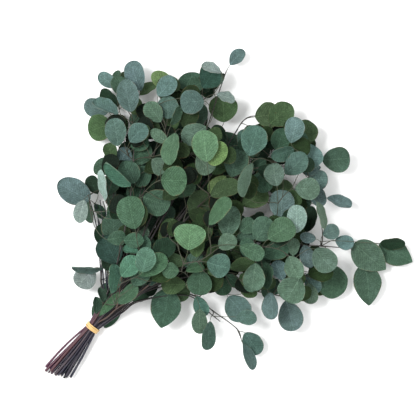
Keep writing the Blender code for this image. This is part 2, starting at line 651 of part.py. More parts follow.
def tie(collection, material):
    """Several turns of a flat band side by side, as one ring round the stems."""
    half = TIE_THICKNESS / 2
    turn = TIE_WIDTH / TIE_TURNS
    outline = [(half, -TIE_WIDTH / 2), (half, TIE_WIDTH / 2)]
    for number in reversed(range(TIE_TURNS)):
        middle = (number + 0.5) * turn - TIE_WIDTH / 2
        outline += [(half * -0.4, middle + turn * 0.46), (-half, middle + turn * 0.22)]
        outline += [(-half, middle - turn * 0.22), (half * -0.4, middle - turn * 0.46)]
    profile = poly_curve("tie profile", [Vector((x, y, 0)) for x, y in outline], collection, closed=True)
    profile.data.dimensions = "2D"
    profile.data.bevel_depth = 0
    profile.data.fill_mode = "NONE"
    loop = tie_outline(STEM_RADIUS_TIE + TIE_CLEARANCE + half)
    ring = poly_curve("tie_band", loop, collection, closed=True)
    ring.data.dimensions = "2D"
    ring.data.fill_mode = "NONE"
    ring.data.bevel_mode = "OBJECT"
    ring.data.bevel_object = profile
    ring = as_mesh(ring, collection)
    ring.data.transform(tie_matrix())
    bpy.data.objects.remove(profile)
    ring.data.materials.clear()
    ring.data.materials.append(material)
    return ring


def set_origin(things):
    """Moves everything so that the origin lies on the table under the middle of the bunch."""
    corners = [vertex.co for thing in things for vertex in thing.data.vertices]
    low = Vector([min(c[k] for c in corners) for k in range(3)])
    high = Vector([max(c[k] for c in corners) for k in range(3)])
    shift = Vector(((low.x + high.x) / -2, (low.y + high.y) / -2, -low.z))
    for thing in things:
        thing.data.transform(Matrix.Translation(shift))


def main():
    clear_scene()
    collection = bpy.data.collections.new("eucalyptus_bunch")
    bpy.context.scene.collection.children.link(collection)
    leaf_green = plain_material("eucalyptus", (0.13, 0.2, 0.14), 0.55)
    band_yellow = plain_material("natural_rubber", (0.86, 0.68, 0.34), 0.5)
    bunch = make_bunch()
    things = [branch(name, bunch, collection, leaf_green) for name in BRANCHES]
    things.append(tie(collection, band_yellow))
    set_origin(things)


if __name__ == "__main__":
    main()
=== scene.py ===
"""The looks of the tied bunch of eucalyptus branches: leaves with veins, barked stems and the wound band.

The first half grows the same stems, twigs and leaves as the model does, from the same plan, and then more
leaves between them. The second half gives each one its fine shape and its finish.
"""

import math
import random
from collections import namedtuple

import bpy
from mathutils import Matrix, Vector
from mathutils.bvhtree import BVHTree


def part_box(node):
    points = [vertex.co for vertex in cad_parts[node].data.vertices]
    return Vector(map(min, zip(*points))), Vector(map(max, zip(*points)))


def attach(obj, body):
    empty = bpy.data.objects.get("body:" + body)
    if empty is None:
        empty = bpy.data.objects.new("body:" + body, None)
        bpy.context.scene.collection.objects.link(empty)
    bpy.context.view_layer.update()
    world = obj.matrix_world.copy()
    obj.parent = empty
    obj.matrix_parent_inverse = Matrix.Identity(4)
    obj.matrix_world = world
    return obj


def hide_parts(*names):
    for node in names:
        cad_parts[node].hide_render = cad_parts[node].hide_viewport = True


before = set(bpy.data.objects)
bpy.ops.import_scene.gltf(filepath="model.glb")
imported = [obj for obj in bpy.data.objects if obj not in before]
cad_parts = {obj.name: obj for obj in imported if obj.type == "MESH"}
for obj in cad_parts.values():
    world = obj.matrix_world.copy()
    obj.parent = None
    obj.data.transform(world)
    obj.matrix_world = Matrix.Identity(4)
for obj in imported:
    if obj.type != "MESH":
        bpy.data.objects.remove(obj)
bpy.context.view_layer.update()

MM = 0.001

# The plan
PLAN_UNIT = 1.155 * MM  # 374 units from the cut ends to the furthest leaf make 432 mm
PLAN_MIDDLE = (208, 208)
VIEW_HEIGHT = 2.4  # the plan is drawn as seen from here, so what lies higher is drawn larger
AXIS_ON_PLAN = math.radians(45)  # the bunch's axis on the plan, which becomes +X
DOME_MIDDLE = (200, 205)
DOME_REACH = 185
DOME_TOP = 100 * MM
DOME_RIM = 22 * MM
TOP_LEVEL = 9  # a leaf's level runs from 1, near the table, to 9, on top of the dome
FLOOR_GAP = 0.5 * MM

# The stems and the tie
TIE_ON_PLAN = (92.5, 327.5)
TIE_HEIGHT = 13.4 * MM
BUNDLE_HEADING = math.radians(4)  # from +X, in the plan
BUNDLE_RISE = math.radians(5)
STEM_PITCH = 3 * MM  # from one stem's middle to the next inside the tie
STEM_RADIUS_TIE = 1.3 * MM
STEM_STEPS = 2  # points for each stretch of a stem's route
CUT_LENGTH = 67.5 * MM  # from the tie to the cut ends, in the middle of the bundle
CUT_SLANT = 3.2 * MM  # added to it for each place to the left
CUT_SPREAD = (2.5, 1.15)  # how far the stems splay sideways and upwards below the tie
CUT_SWING = 3.2 * MM  # how far the cut ends lie to the right of the bundle's own line
CUT_LOWEST = 2.1 * MM  # how low a cut end's middle may lie
FAN_START = 36 * MM  # beyond the tie, where each stem leaves the bundle
FAN_SPREAD = 2.4
TIE_CLEARANCE = 0.35 * MM
TIE_WIDTH = 5.6 * MM
TIE_THICKNESS = 0.9 * MM
TIE_POINTS = 20

# The leaves
BLADE_THICKNESS = 0.7 * MM
STALK_WIDTH = 1.2 * MM
TWIG_RADIUS = 0.95 * MM
SHORTEST_TWIG = 15 * MM  # a shorter stalk carries no other leaf
STALK_STEP = 22 * MM
STALK_LEAVE = (0.6, 1.5)  # how strongly a stalk sets off along its twig, and straight at its blade
STALK_ARRIVE = 0.8  # how strongly it still heads straight where it meets the blade
SHORTEST_STALK = 3 * MM
LONGEST_STALK = 95 * MM
LEAST_IN_LINE = 0.1  # the cosine of the widest turn between a stalk and its blade
TURN_COSTS = (18 * MM, 14 * MM)  # what turning off the twig and off the blade cost in stalk length
PERCHES_TRIED = 40
CLEARANCE = 0.75 * MM  # kept round each new leaf and stalk
NARROW = 0.6  # a leaf that looks narrower than this share of its length is rolled on its side
FULL_WIDTH = 0.8
FLAT_HALF = 13  # half the length of a resting leaf, on the plan
FLAT_WIDTH = 0.85  # of its length
LIFT_STEPS = 14
LIFT_STEP = 1.5  # in mm
PLAN_PITCH = (-0.2, 0.12)  # of its length: a leaf's pitch, roll and arch are drawn between two bounds
PLAN_ROLL = (-0.24, 0.24)
PLAN_ARCH = (-0.03, 0.06)
PLAN_EASE = (1, 0.5, 0.2)  # how much of its roll and arch a leaf keeps, as its neighbours leave room
HIDDEN_LEAVES = 14
HIDDEN_TRIES = 12  # for each of them
HIDDEN_DRIFT = 9  # on the plan, from the middle of a leaf that shows
HIDDEN_HEIGHT = (0.04, 0.5)  # of the dome's height
HIDDEN_RISE = (0, 5)  # in mm, of the stalk end
HIDDEN_DROP = (0, 4)  # in mm, of the tip
DENSE_MIDDLE = (203, 205)  # on the plan, where hidden leaves grow within the reach of it
DENSE_REACH = 75
SEE_THROUGH = [(258, 208), (293, 180), (236, 125)]  # plan places where the table shows
SEE_THROUGH_REACH = 26
FLAT_LEAVES = [(137, 150), (300, 200), (283, 262), (190, 272), (150, 215)]  # plan places of resting leaves
SEED = 11

# How leaves that follow no row of the plan vary: half their length on the plan, how many degrees they swing
# from the tie's direction, their width as a share of the length, their pitch in mm, roll, arch and tones
Habit = namedtuple("Habit", "half swing width pitch roll arch tones")
HIDDEN = Habit((11.5, 14), 55, (0.75, 0.95), None, 0.35, (0, 0.05), "d")
# The covering and filling leaves mostly take the dark tones k, n and z: painted shade for the crowded inside
# of the foliage.
COVER = Habit((9.5, 14), 75, (0.66, 0.92), (-4, 3), 0.35, (-0.02, 0.05), "dkodokndk")
FILL = Habit((8, 13), 70, (0.72, 0.98), (-7, 5), 0.45, (-0.02, 0.06), "kznnkzokdz")

# Each stem: its place in the tie as (sideways, row), then its route beyond as plan x, y and height in mm
BRANCHES = {
    "branch_low_right": (
        (-2, 0), [(140, 301, 22), (188, 294, 18), (213, 311, 12), (237, 329, 9), (242, 342, 8)],
    ),
    "branch_right_low": ((-1.5, -1), [(150, 290, 22), (205, 281, 22), (250, 290, 16), (281, 296, 11)]),
    "branch_right_middle": ((-1.5, 1), [(150, 288, 38), (205, 273, 35), (262, 268, 34), (308, 272, 20)]),
    "branch_far_right": (
        (-1, 0), [(150, 280, 44), (210, 253, 42), (270, 245, 38), (320, 246, 25), (354, 249, 14)],
    ),
    "branch_right_top": (
        (-0.5, 1), [(146, 287, 54), (180, 270, 49), (216, 247, 54), (262, 228, 49), (304, 214, 34)],
    ),
    "branch_right_under": ((0, -2), [(145, 280, 18), (200, 240, 14), (245, 205, 13), (268, 182, 11)]),
    "branch_right_upper": ((-0.5, -1), [(150, 272, 34), (210, 225, 37), (265, 198, 35), (312, 192, 24)]),
    "branch_crest": (
        (0, 2), [(148, 264, 66), (200, 205, 55), (250, 170, 50), (296, 166, 35), (316, 162, 22)],
    ),
    "branch_upper_right": (
        (0, 0), [(143, 264, 50), (195, 200, 44), (232, 138, 37), (247, 118, 28), (268, 116, 20)],
    ),
    "branch_long_top": (
        (0.5, 1), [(136, 266, 58), (172, 200, 48), (202, 140, 42), (219, 92, 30), (226, 72, 18)],
    ),
    "branch_top": ((1, 2), [(130, 264, 68), (160, 195, 57), (182, 140, 52), (202, 106, 38)]),
    "branch_top_middle": ((1, 0), [(124, 264, 44), (143, 195, 42), (158, 140, 38), (166, 108, 30)]),
    "branch_top_left": ((1.5, 1), [(117, 264, 58), (130, 200, 51), (134, 145, 44), (132, 118, 35)]),
    "branch_upper_left": ((1.5, -1), [(108, 270, 32), (113, 205, 35), (114, 158, 33), (112, 124, 24)]),
    "branch_left": ((2, 0), [(101, 280, 26), (103, 242, 28), (97, 214, 22), (95, 203, 18)]),
    "branch_left_under": ((0.5, -1), [(126, 270, 22), (150, 210, 16), (165, 160, 14), (172, 128, 12)]),
}

# Leaves as seen from above, on the plan: where the stalk meets the blade, the tip, the width and the level
# Rows of tone n are leaves low in the foliage, whose near-black colour is painted shade.
ROUND_LEAVES = [
    # crown, left
    (116, 87, 99, 74, 14, 6, "b"), (117, 92, 117, 70, 12, 2, "d"), (121, 97, 126, 72, 13, 3, "o"),
    (141, 91, 131, 61, 20, 5, "b"), (131, 112, 125, 79, 22, 8, "g"), (119, 106, 101, 90, 14, 2, "n"),
    (108, 112, 84, 103, 19, 4, "b"), (118, 114, 93, 101, 13, 6, "b"), (113, 124, 88, 132, 27, 3, "o"),
    (118, 146, 113, 118, 21, 6, "g"), (127, 132, 121, 117, 10, 3, "o"), (130, 142, 146, 125, 20, 8, "g"),
    # crown, middle
    (174, 87, 152, 74, 17, 2, "y"), (158, 96, 174, 77, 19, 7, "b"), (140, 95, 156, 83, 11, 2, "o"),
    (193, 99, 191, 72, 29, 3, "d"), (203, 88, 216, 66, 26, 6, "e"), (221, 73, 202, 64, 11, 8, "p"),
    (214, 90, 223, 73, 10, 3, "n"), (200, 84, 213, 96, 14, 2, "n"), (204, 101, 180, 104, 24, 8, "g"),
    (184, 124, 206, 106, 24, 4, "d"), (168, 119, 168, 96, 21, 6, "g"), (171, 125, 180, 106, 8, 7, "m"),
    (161, 122, 146, 103, 18, 7, "m"), (152, 131, 131, 114, 20, 2, "d"), (206, 127, 182, 141, 22, 6, "s"),
    (207, 162, 203, 130, 26, 9, "x"), (206, 147, 226, 158, 25, 8, "y"), (197, 155, 212, 172, 20, 7, "s"),
    (226, 134, 211, 129, 12, 4, "n"), (224, 122, 223, 94, 29, 4, "o"), (217, 94, 235, 100, 11, 6, "p"),
    (230, 65, 244, 50, 14, 3, "b"),
    # upper right
    (255, 117, 279, 113, 26, 4, "o"), (270, 124, 292, 105, 24, 5, "o"), (291, 143, 296, 117, 20, 8, "b"),
    (296, 147, 312, 122, 24, 4, "o"), (278, 151, 284, 128, 20, 6, "d"), (249, 156, 258, 125, 26, 8, "t"),
    (251, 157, 244, 129, 20, 3, "t"), (294, 149, 271, 157, 14, 7, "t"), (285, 174, 306, 154, 21, 8, "g"),
    (300, 169, 317, 147, 27, 5, "b"), (322, 160, 350, 158, 26, 4, "d"), (309, 190, 325, 172, 20, 4, "b"),
    (295, 188, 320, 190, 22, 8, "s"), (312, 184, 323, 206, 16, 5, "b"), (327, 198, 352, 205, 12, 4, "b"),
    (317, 202, 326, 229, 9, 8, "s"), (306, 232, 312, 206, 14, 3, "n"), (323, 235, 339, 229, 16, 5, "b"),
    (335, 240, 354, 244, 15, 5, "b"),
    # right
    (379, 243, 404, 243, 12, 3, "n"), (315, 249, 334, 270, 24, 8, "s"), (332, 265, 332, 299, 31, 4, "d"),
    (306, 274, 318, 293, 16, 3, "b"), (308, 283, 312, 304, 17, 5, "s"), (304, 245, 311, 268, 15, 6, "b"),
    (316, 239, 300, 236, 11, 6, "b"), (296, 233, 297, 205, 20, 9, "i"), (281, 222, 283, 190, 25, 5, "b"),
    (271, 191, 293, 186, 18, 2, "o"), (277, 186, 273, 163, 20, 9, "s"), (268, 187, 254, 175, 16, 3, "y"),
    (268, 239, 294, 224, 24, 9, "r"), (242, 205, 268, 193, 21, 5, "o"), (248, 202, 236, 200, 14, 3, "o"),
    (252, 163, 242, 197, 11, 9, "s"), (266, 160, 251, 168, 14, 3, "d"), (231, 177, 241, 150, 25, 5, "d"),
    (217, 134, 243, 150, 20, 3, "d"), (211, 196, 240, 183, 18, 6, "o"), (226, 176, 209, 193, 16, 5, "y"),
    (205, 226, 198, 190, 27, 5, "o"), (209, 225, 229, 198, 15, 9, "r"), (226, 238, 234, 206, 22, 7, "m"),
    # middle and left
    (161, 180, 187, 180, 29, 9, "r"), (178, 197, 191, 178, 20, 5, "r"), (207, 193, 199, 173, 20, 2, "d"),
    (175, 133, 168, 165, 17, 9, "r"), (167, 142, 151, 130, 12, 7, "s"), (152, 156, 133, 150, 24, 5, "d"),
    (152, 159, 168, 172, 18, 6, "s"), (151, 172, 132, 180, 22, 4, "d"), (146, 188, 127, 196, 18, 3, "d"),
    (143, 197, 170, 206, 27, 7, "d"), (135, 229, 128, 196, 27, 9, "r"), (136, 226, 145, 240, 16, 6, "s"),
    (120, 216, 110, 178, 14, 2, "n"), (131, 186, 105, 163, 12, 9, "q"), (105, 201, 99, 170, 9, 8, "i"),
    (110, 172, 95, 163, 19, 4, "d"), (113, 160, 108, 143, 14, 4, "o"), (120, 169, 126, 147, 17, 3, "b"),
    (98, 194, 89, 176, 14, 3, "n"), (90, 200, 58, 182, 26, 5, "b"), (84, 200, 79, 223, 15, 6, "p"),
    (87, 200, 91, 223, 11, 3, "d"), (95, 204, 104, 219, 9, 3, "d"), (113, 241, 113, 214, 25, 5, "d"),
    (117, 263, 104, 236, 27, 6, "e"), (103, 268, 72, 267, 7, 6, "g"), (94, 268, 77, 286, 23, 4, "p"),
    # neck
    (112, 293, 116, 264, 13, 8, "q"), (122, 276, 138, 257, 19, 7, "q"), (138, 252, 123, 249, 8, 8, "q"),
    (142, 272, 148, 247, 20, 9, "q"), (139, 275, 166, 256, 20, 8, "r"), (137, 250, 138, 230, 8, 5, "s"),
    (179, 271, 162, 270, 16, 8, "r"), (148, 285, 165, 265, 12, 6, "e"), (150, 277, 135, 288, 11, 5, "d"),
    (118, 303, 138, 286, 14, 8, "r"), (118, 292, 102, 312, 12, 8, "m"), (104, 302, 100, 287, 7, 4, "d"),
    (97, 313, 98, 296, 9, 2, "d"), (108, 320, 119, 307, 10, 2, "d"), (132, 301, 146, 290, 10, 3, "r"),
    (158, 284, 146, 294, 12, 2, "n"),
    # lower middle
    (186, 284, 161, 285, 19, 4, "o"), (165, 251, 172, 218, 21, 5, "o"), (188, 250, 191, 224, 31, 9, "x"),
    (202, 249, 219, 239, 13, 3, "d"), (219, 248, 236, 237, 17, 8, "s"), (187, 263, 168, 254, 12, 5, "o"),
    (184, 266, 203, 255, 14, 6, "m"), (186, 271, 204, 266, 10, 7, "r"), (201, 270, 199, 295, 25, 7, "d"),
    (207, 262, 230, 268, 24, 9, "t"), (212, 281, 231, 291, 18, 3, "d"), (226, 275, 239, 286, 12, 4, "d"),
    (231, 252, 250, 258, 12, 5, "o"), (230, 268, 255, 263, 14, 6, "o"), (240, 246, 264, 257, 16, 9, "r"),
    (256, 263, 252, 291, 22, 8, "s"), (262, 268, 247, 291, 20, 5, "s"), (240, 286, 257, 295, 13, 3, "o"),
    (262, 286, 270, 298, 10, 2, "d"), (263, 256, 288, 246, 20, 6, "d"), (261, 248, 273, 238, 14, 4, "r"),
    (293, 256, 294, 238, 13, 6, "s"), (289, 256, 299, 279, 19, 9, "s"), (283, 280, 275, 261, 16, 5, "b"),
    (300, 277, 285, 301, 28, 7, "s"), (267, 289, 266, 262, 14, 4, "d"), (256, 240, 270, 218, 25, 8, "m"),
    (246, 222, 264, 214, 9, 5, "n"),
    # hanging spray
    (228, 297, 247, 319, 26, 3, "b"), (236, 317, 257, 319, 15, 6, "t"), (270, 292, 272, 319, 16, 5, "b"),
    (286, 300, 294, 331, 25, 4, "b"), (196, 296, 206, 316, 15, 3, "t"), (200, 309, 200, 334, 16, 5, "s"),
    (210, 321, 209, 350, 14, 5, "t"), (245, 333, 260, 354, 20, 3, "t"), (243, 344, 253, 370, 11, 6, "b"),
    # deep inside
    (186, 178, 188, 148, 22, 3, "n"), (172, 202, 185, 208, 14, 2, "n"), (185, 134, 175, 120, 13, 2, "m"),
    (160, 155, 150, 142, 12, 2, "d"), (128, 202, 117, 180, 16, 2, "n"), (238, 247, 245, 230, 14, 3, "m"),
]
POINTED_LEAVES = [
    (354, 243, 386, 270, 30, 6, "m"), (379, 244, 413, 262, 27, 5, "d"), (364, 263, 369, 306, 28, 4, "d"),
    (168, 288, 161, 328, 31, 3, "d"),
]

# How a blade's half width runs from stalk to tip: the powers that round its two ends
BASE_POWER = 0.6
ROUND_TIP = 0.45
POINTED_TIP = 0.85
BLUNT_END = 0.012

Leaf = namedtuple("Leaf", "base along across normal length width tip_power arch tone")
Item = namedtuple("Item", "kind branch tree low high")
Perch = namedtuple("Perch", "branch twig point along")  # twig: the number of the leaf whose stalk it is on


def place(x, y, height):
    """The point seen at x, y on the plan when it lies at this height, with the bunch's axis along +X."""
    unit = PLAN_UNIT * (1 - height / VIEW_HEIGHT)
    flat = Vector(((x - PLAN_MIDDLE[0]) * unit, (PLAN_MIDDLE[1] - y) * unit, height))
    return Matrix.Rotation(-AXIS_ON_PLAN, 3, "Z") @ flat


def dome_height(x, y):
    """How high the foliage stands over a place on the plan."""
    off = math.dist((x, y), DOME_MIDDLE) / DOME_REACH
    return DOME_RIM + (DOME_TOP - DOME_RIM) * max(0.0, 1 - off * off)


def smooth_route(points, steps):
    """Points on a Catmull-Rom curve through these, with this many steps for each stretch."""
    ends = [2 * points[0] - points[1], *points, 2 * points[-1] - points[-2]]
    route = []
    for before, start, stop, after in zip(ends, ends[1:], ends[2:], ends[3:]):
        for step in range(steps):
            t = step / steps
            point = 2 * start + (stop - before) * t + (2 * before - 5 * start + 4 * stop - after) * t**2
            route.append(0.5 * (point + (3 * start - before - 3 * stop + after) * t**3))
    return [*route, points[-1]]


def bundle_frame():
    """The tie's middle, and the bundle's own directions there: along, sideways and up."""
    along = Vector((math.cos(BUNDLE_HEADING), math.sin(BUNDLE_HEADING), math.tan(BUNDLE_RISE))).normalized()
    sideways = Vector((0, 0, 1)).cross(along).normalized()
    return place(*TIE_ON_PLAN, TIE_HEIGHT), along, sideways, along.cross(sideways)


def stem_route(slot, route, steps):
    """A stem's middle line, from its cut end through its place in the tie to its tip."""
    middle, along, sideways, up = bundle_frame()
    offset_side = slot[0] * STEM_PITCH
    offset_up = slot[1] * STEM_PITCH * math.sqrt(0.75)
    chance = random.Random(SEED + round(10 * slot[0] + 100 * slot[1]))
    length = CUT_LENGTH + slot[0] * CUT_SLANT + chance.uniform(-4, 4) * MM
    swing = chance.uniform(-1.2, 1.2) * MM - CUT_SWING
    in_tie = middle + sideways * offset_side + up * offset_up
    splay = sideways * (offset_side * CUT_SPREAD[0] + swing) + up * offset_up * CUT_SPREAD[1]
    cut = middle - along * length + splay
    cut.z = max(cut.z, CUT_LOWEST)
    fan = middle + along * FAN_START + (sideways * offset_side + up * offset_up) * FAN_SPREAD
    half_tie = along * TIE_WIDTH * 0.7
    beyond = [fan, *(place(x, y, z * MM) for x, y, z in route)]
    return [cut, in_tie - half_tie, *smooth_route([in_tie + half_tie, *beyond], steps)]


def tie_outline(away, steps=TIE_POINTS):
    """The bundle's outline inside the tie, this far out from the stems' middles, in the tie's own plane."""
    row_pitch = STEM_PITCH * math.sqrt(0.75)
    centres = [Vector((side * STEM_PITCH, row * row_pitch)) for (side, row), _ in BRANCHES.values()]
    loop = []
    for step in range(steps):
        turn = math.tau * step / steps
        out = Vector((math.cos(turn), math.sin(turn)))
        loop.append((max(centres, key=lambda centre: centre.dot(out)) + out * away).to_3d())
    return loop


def tie_matrix():
    """Carries the tie's own plane, with its axis along Z, to its place round the bundle."""
    middle, along, sideways, up = bundle_frame()
    turn = Matrix((sideways, up, along)).transposed()
    return Matrix.Translation(middle) @ turn.to_4x4()


def tube_shell(line, radius, sides=5):
    """Points and faces of a plain tube, for telling whether things touch."""
    points, faces = [], []
    for number, point in enumerate(line):
        ahead = (line[min(number + 1, len(line) - 1)] - line[max(number - 1, 0)]).normalized()
        side = ahead.orthogonal().normalized()
        other = ahead.cross(side)
        for corner in range(sides):
            turn = math.tau * corner / sides
            points.append(point + (side * math.cos(turn) + other * math.sin(turn)) * radius)
    for number in range(len(line) - 1):
        for corner in range(sides):
            a = number * sides + corner
            b = number * sides + (corner + 1) % sides
            faces.append((a, b, b + sides, a + sides))
    return points, faces


def bulge(width, first, last, share):
    """Half the width at this share of the length, for the powers that round the two ends."""
    widest = first / (first + last)
    peak = widest**first * (1 - widest) ** last
    return width / 2 * share**first * (1 - share) ** last / peak


def half_width(leaf, share):
    """Half the blade's width at this share of its length, with blunt ends."""
    return bulge(leaf.width, BASE_POWER, leaf.tip_power, min(max(share, BLUNT_END), 1 - BLUNT_END))


def blade_point(leaf, share, side=0.0):
    """A point on the blade, by its share of the length and of the half width there."""
    arch = leaf.normal * leaf.arch * leaf.length * 4 * share * (1 - share)
    return leaf.base + leaf.along * leaf.length * share + arch + leaf.across * side * half_width(leaf, share)


def blade_shell(leaf, clearance):
    """Points and faces of the blade grown by the clearance, for telling whether things touch."""
    points, faces = [], []
    grow = BLADE_THICKNESS / 2 + clearance
    for share in (0, 0.1, 0.3, 0.5, 0.7, 0.9, 1):
        middle = blade_point(leaf, share)
        reach = half_width(leaf, share) + clearance
        for side, lift in ((-1, -1), (1, -1), (1, 1), (-1, 1)):
            points.append(middle + leaf.across * side * reach + leaf.normal * lift * grow)
    for ring in range(6):
        for corner in range(4):
            a, b = ring * 4 + corner, ring * 4 + (corner + 1) % 4
            faces.append((a, b, b + 4, a + 4))
    return points, [*faces, (0, 1, 2, 3), (24, 25, 26, 27)]


def item_of(kind, branch, points, faces):
    """Something that takes up room, with the box round it."""
    low = [min(p[k] for p in points) for k in range(3)]
    high = [max(p[k] for p in points) for k in range(3)]
    return Item(kind, branch, BVHTree.FromPolygons(points, faces), low, high)


def tie_rims(away, share):
    """The outline this far out from the stems' middles, at this share of the tie's width to each side."""
    matrix, loop = tie_matrix(), tie_outline(away)
    return [matrix @ (point + Vector((0, 0, TIE_WIDTH * side))) for side in (-share, share) for point in loop]


def tie_item():
    """The tie as something that leaves and stalks keep away from."""
    faces = []
    for here in range(TIE_POINTS):
        ahead = (here + 1) % TIE_POINTS
        faces.append((here, ahead, ahead + TIE_POINTS, here + TIE_POINTS))
    return item_of("tie", "tie", tie_rims(STEM_RADIUS_TIE + 2 * TIE_THICKNESS, 1), faces)


def touches(new, items, spare=()):
    """Whether the new item meets any that is already there, apart from those to spare."""
    for old in items:
        if old in spare or any(new.low[k] > old.high[k] or old.low[k] > new.high[k] for k in range(3)):
            continue
        if new.tree.overlap(old.tree):
            return True
    return False


def stalk_line(start, forward, base, along, count=None):
    """A stalk from where it grows to its blade, leaving forwards and arriving in line with the blade."""
    span = (base - start).length
    straight = (base - start).normalized()
    leave = (forward * STALK_LEAVE[0] + straight * STALK_LEAVE[1]).normalized() * span
    arrive = (along + straight * STALK_ARRIVE).normalized() * span
    count = count or 1 + round(span / STALK_STEP)
    line = []
    for step in range(count + 1):
        t = step / count
        point = start * (2 * t**3 - 3 * t**2 + 1) + leave * (t**3 - 2 * t**2 + t)
        line.append(point + base * (3 * t**2 - 2 * t**3) + arrive * (t**3 - t**2))
    return line


def perch_cost(perch, base, along):
    """How natural it is for a leaf to hang on this perch: near it, ahead of it and in line with it."""
    gap = base - perch.point
    span = gap.length
    if not SHORTEST_STALK < span < LONGEST_STALK:
        return None
    ahead = gap.dot(perch.along) / span
    in_line = gap.dot(along) / span
    if in_line < LEAST_IN_LINE:
        return None
    return span + TURN_COSTS[0] * (1 - ahead) + TURN_COSTS[1] * (1 - in_line)


def new_leaf(base, tip, width, tip_power, roll, arch, tone):
    """A leaf from its stalk end to its tip, turned by the roll about the line between them."""
    along = (tip - base).normalized()
    across = Matrix.Rotation(roll, 3, along) @ Vector((0, 0, 1)).cross(along).normalized()
    return Leaf(base, along, across, along.cross(across), (tip - base).length, width, tip_power, arch, tone)


class Bunch:
    """The whole layout: every stem, twig and leaf, none of them in each other's way."""

    def __init__(self):
        self.items, self.perches, self.leaves = [], [], []
        self.clearance = CLEARANCE
        for name, (slot, route) in BRANCHES.items():
            self.add_stem(name, stem_route(slot, route, STEM_STEPS))
        self.items.append(tie_item())

    def add_stem(self, name, line):
        self.items.append(item_of("stem", name, *tube_shell(line, STEM_RADIUS_TIE, 6)))
        for point, after in zip(line[3:], line[4:]):
            for share in (0, 0.3, 0.6):
                self.perches.append(Perch(name, None, point.lerp(after, share), (after - point).normalized()))
        self.perches.append(Perch(name, None, line[-1], (line[-1] - line[-2]).normalized()))

    def grow(self, base, tip, width, tip_power, roll, arch, lifts, tone):
        """Adds a leaf at the first lift where it and its stalk are clear. It says whether it could."""
        leaf = new_leaf(base, tip, width, tip_power, roll, arch, tone)
        for lift in lifts:
            leaf = leaf._replace(base=base + Vector((0, 0, lift)))
            points, faces = blade_shell(leaf, self.clearance)
            if min(p.z for p in points) < -self.clearance - 0.01 * MM:
                continue
            blade = item_of("blade", None, points, faces)
            if not touches(blade, self.items) and self.hang(leaf, blade):
                return True
        return False

    def hang(self, leaf, blade):
        """Hangs a blade that is clear on the best perch whose stalk is clear too."""
        costs = ((perch_cost(perch, leaf.base, leaf.along), k) for k, perch in enumerate(self.perches))
        best = sorted((cost, k) for cost, k in costs if cost is not None)[:PERCHES_TRIED]
        for _, number in best:
            perch = self.perches[number]
            line = stalk_line(perch.point, perch.along, leaf.base, leaf.along)
            if min(p.z for p in line[:-1]) < STALK_WIDTH:
                continue
            shell = item_of("stalk", perch.branch, *tube_shell(line, TWIG_RADIUS + self.clearance / 2, 4))
            own = [old for old in self.items if old.branch == perch.branch and old.kind != "blade"]
            if touches(shell, self.items, own):
                continue
            self.settle(leaf, blade, perch, line)
            return True
        return False

    def settle(self, leaf, blade, perch, line):
        """Keeps a leaf. Its stalk is a twig that others can hang on if it is long and off the table."""
        number = len(self.leaves)
        self.leaves.append((perch, leaf))
        self.items.append(blade._replace(branch=perch.branch))
        self.items.append(item_of("stalk", perch.branch, *tube_shell(line, TWIG_RADIUS, 4)))
        run = sum((b - a).length for a, b in zip(line, line[1:]))
        if run > SHORTEST_TWIG and leaf.base.z > 2 * STALK_WIDTH:
            for before, after in zip(line, line[1:]):
                for share in (0.25, 0.6):
                    direction = (after - before).normalized()
                    self.perches.append(Perch(perch.branch, number, before.lerp(after, share), direction))


def reach(x, y, half, swing=0.0):
    """From the middle of a leaf to its tip, on the plan: away from the tie, swung by some degrees."""
    turn = math.radians(swing) + math.atan2(y - TIE_ON_PLAN[1], x - TIE_ON_PLAN[0])
    return half * math.cos(turn), half * math.sin(turn)


def leaf_on_plan(bunch, row, tip_power, chance):
    """Grows the leaf of one row of the plan, tilted a little, as high as its level says."""
    base_x, base_y, tip_x, tip_y, width, level, tone = row
    dome = dome_height((base_x + tip_x) / 2, (base_y + tip_y) / 2)
    height = FLOOR_GAP + 3 * MM + level / TOP_LEVEL * (dome - 6 * MM)
    length = math.dist((base_x, base_y), (tip_x, tip_y)) * PLAN_UNIT
    pitch = chance.uniform(*PLAN_PITCH) * length
    base = place(base_x, base_y, height - pitch / 2)
    tip = place(tip_x, tip_y, max(height + pitch / 2, BLADE_THICKNESS))
    width *= PLAN_UNIT
    roll = chance.uniform(*PLAN_ROLL)
    if width < NARROW * length:
        roll = math.copysign(math.acos(width / (FULL_WIDTH * length)), roll)
        width = FULL_WIDTH * length
    arch = chance.uniform(*PLAN_ARCH)
    lifts = [0, *(step * side * LIFT_STEP * MM for step in range(1, LIFT_STEPS) for side in (1, -1))]
    for ease in PLAN_EASE:
        if bunch.grow(base, tip, width, tip_power, roll * ease, arch * ease, lifts, tone):
            return


def hidden_leaf(bunch, chance):
    """Grows a leaf under the dome, somewhere below one that shows."""
    row = chance.choice(ROUND_LEAVES)
    x = (row[0] + row[2]) / 2 + chance.uniform(-HIDDEN_DRIFT, HIDDEN_DRIFT)
    y = (row[1] + row[3]) / 2 + chance.uniform(-HIDDEN_DRIFT, HIDDEN_DRIFT)
    clear = min(math.dist((x, y), spot) for spot in SEE_THROUGH)
    if math.dist((x, y), DENSE_MIDDLE) > DENSE_REACH or clear < SEE_THROUGH_REACH:
        return False
    height = 3 * MM + chance.uniform(*HIDDEN_HEIGHT) * dome_height(x, y)
    swing, half = chance.uniform(-HIDDEN.swing, HIDDEN.swing), chance.uniform(*HIDDEN.half)
    dx, dy = reach(x, y, half, swing)
    base = place(x - dx, y - dy, height + chance.uniform(*HIDDEN_RISE) * MM)
    tip = place(x + dx, y + dy, max(height - chance.uniform(*HIDDEN_DROP) * MM, MM))
    roll = chance.uniform(-HIDDEN.roll, HIDDEN.roll)
    width = 2 * half * chance.uniform(*HIDDEN.width) * PLAN_UNIT
    lifts = [step * 2 * MM for step in range(5)]
    return bunch.grow(base, tip, width, ROUND_TIP, roll, chance.uniform(*HIDDEN.arch), lifts, HIDDEN.tones)


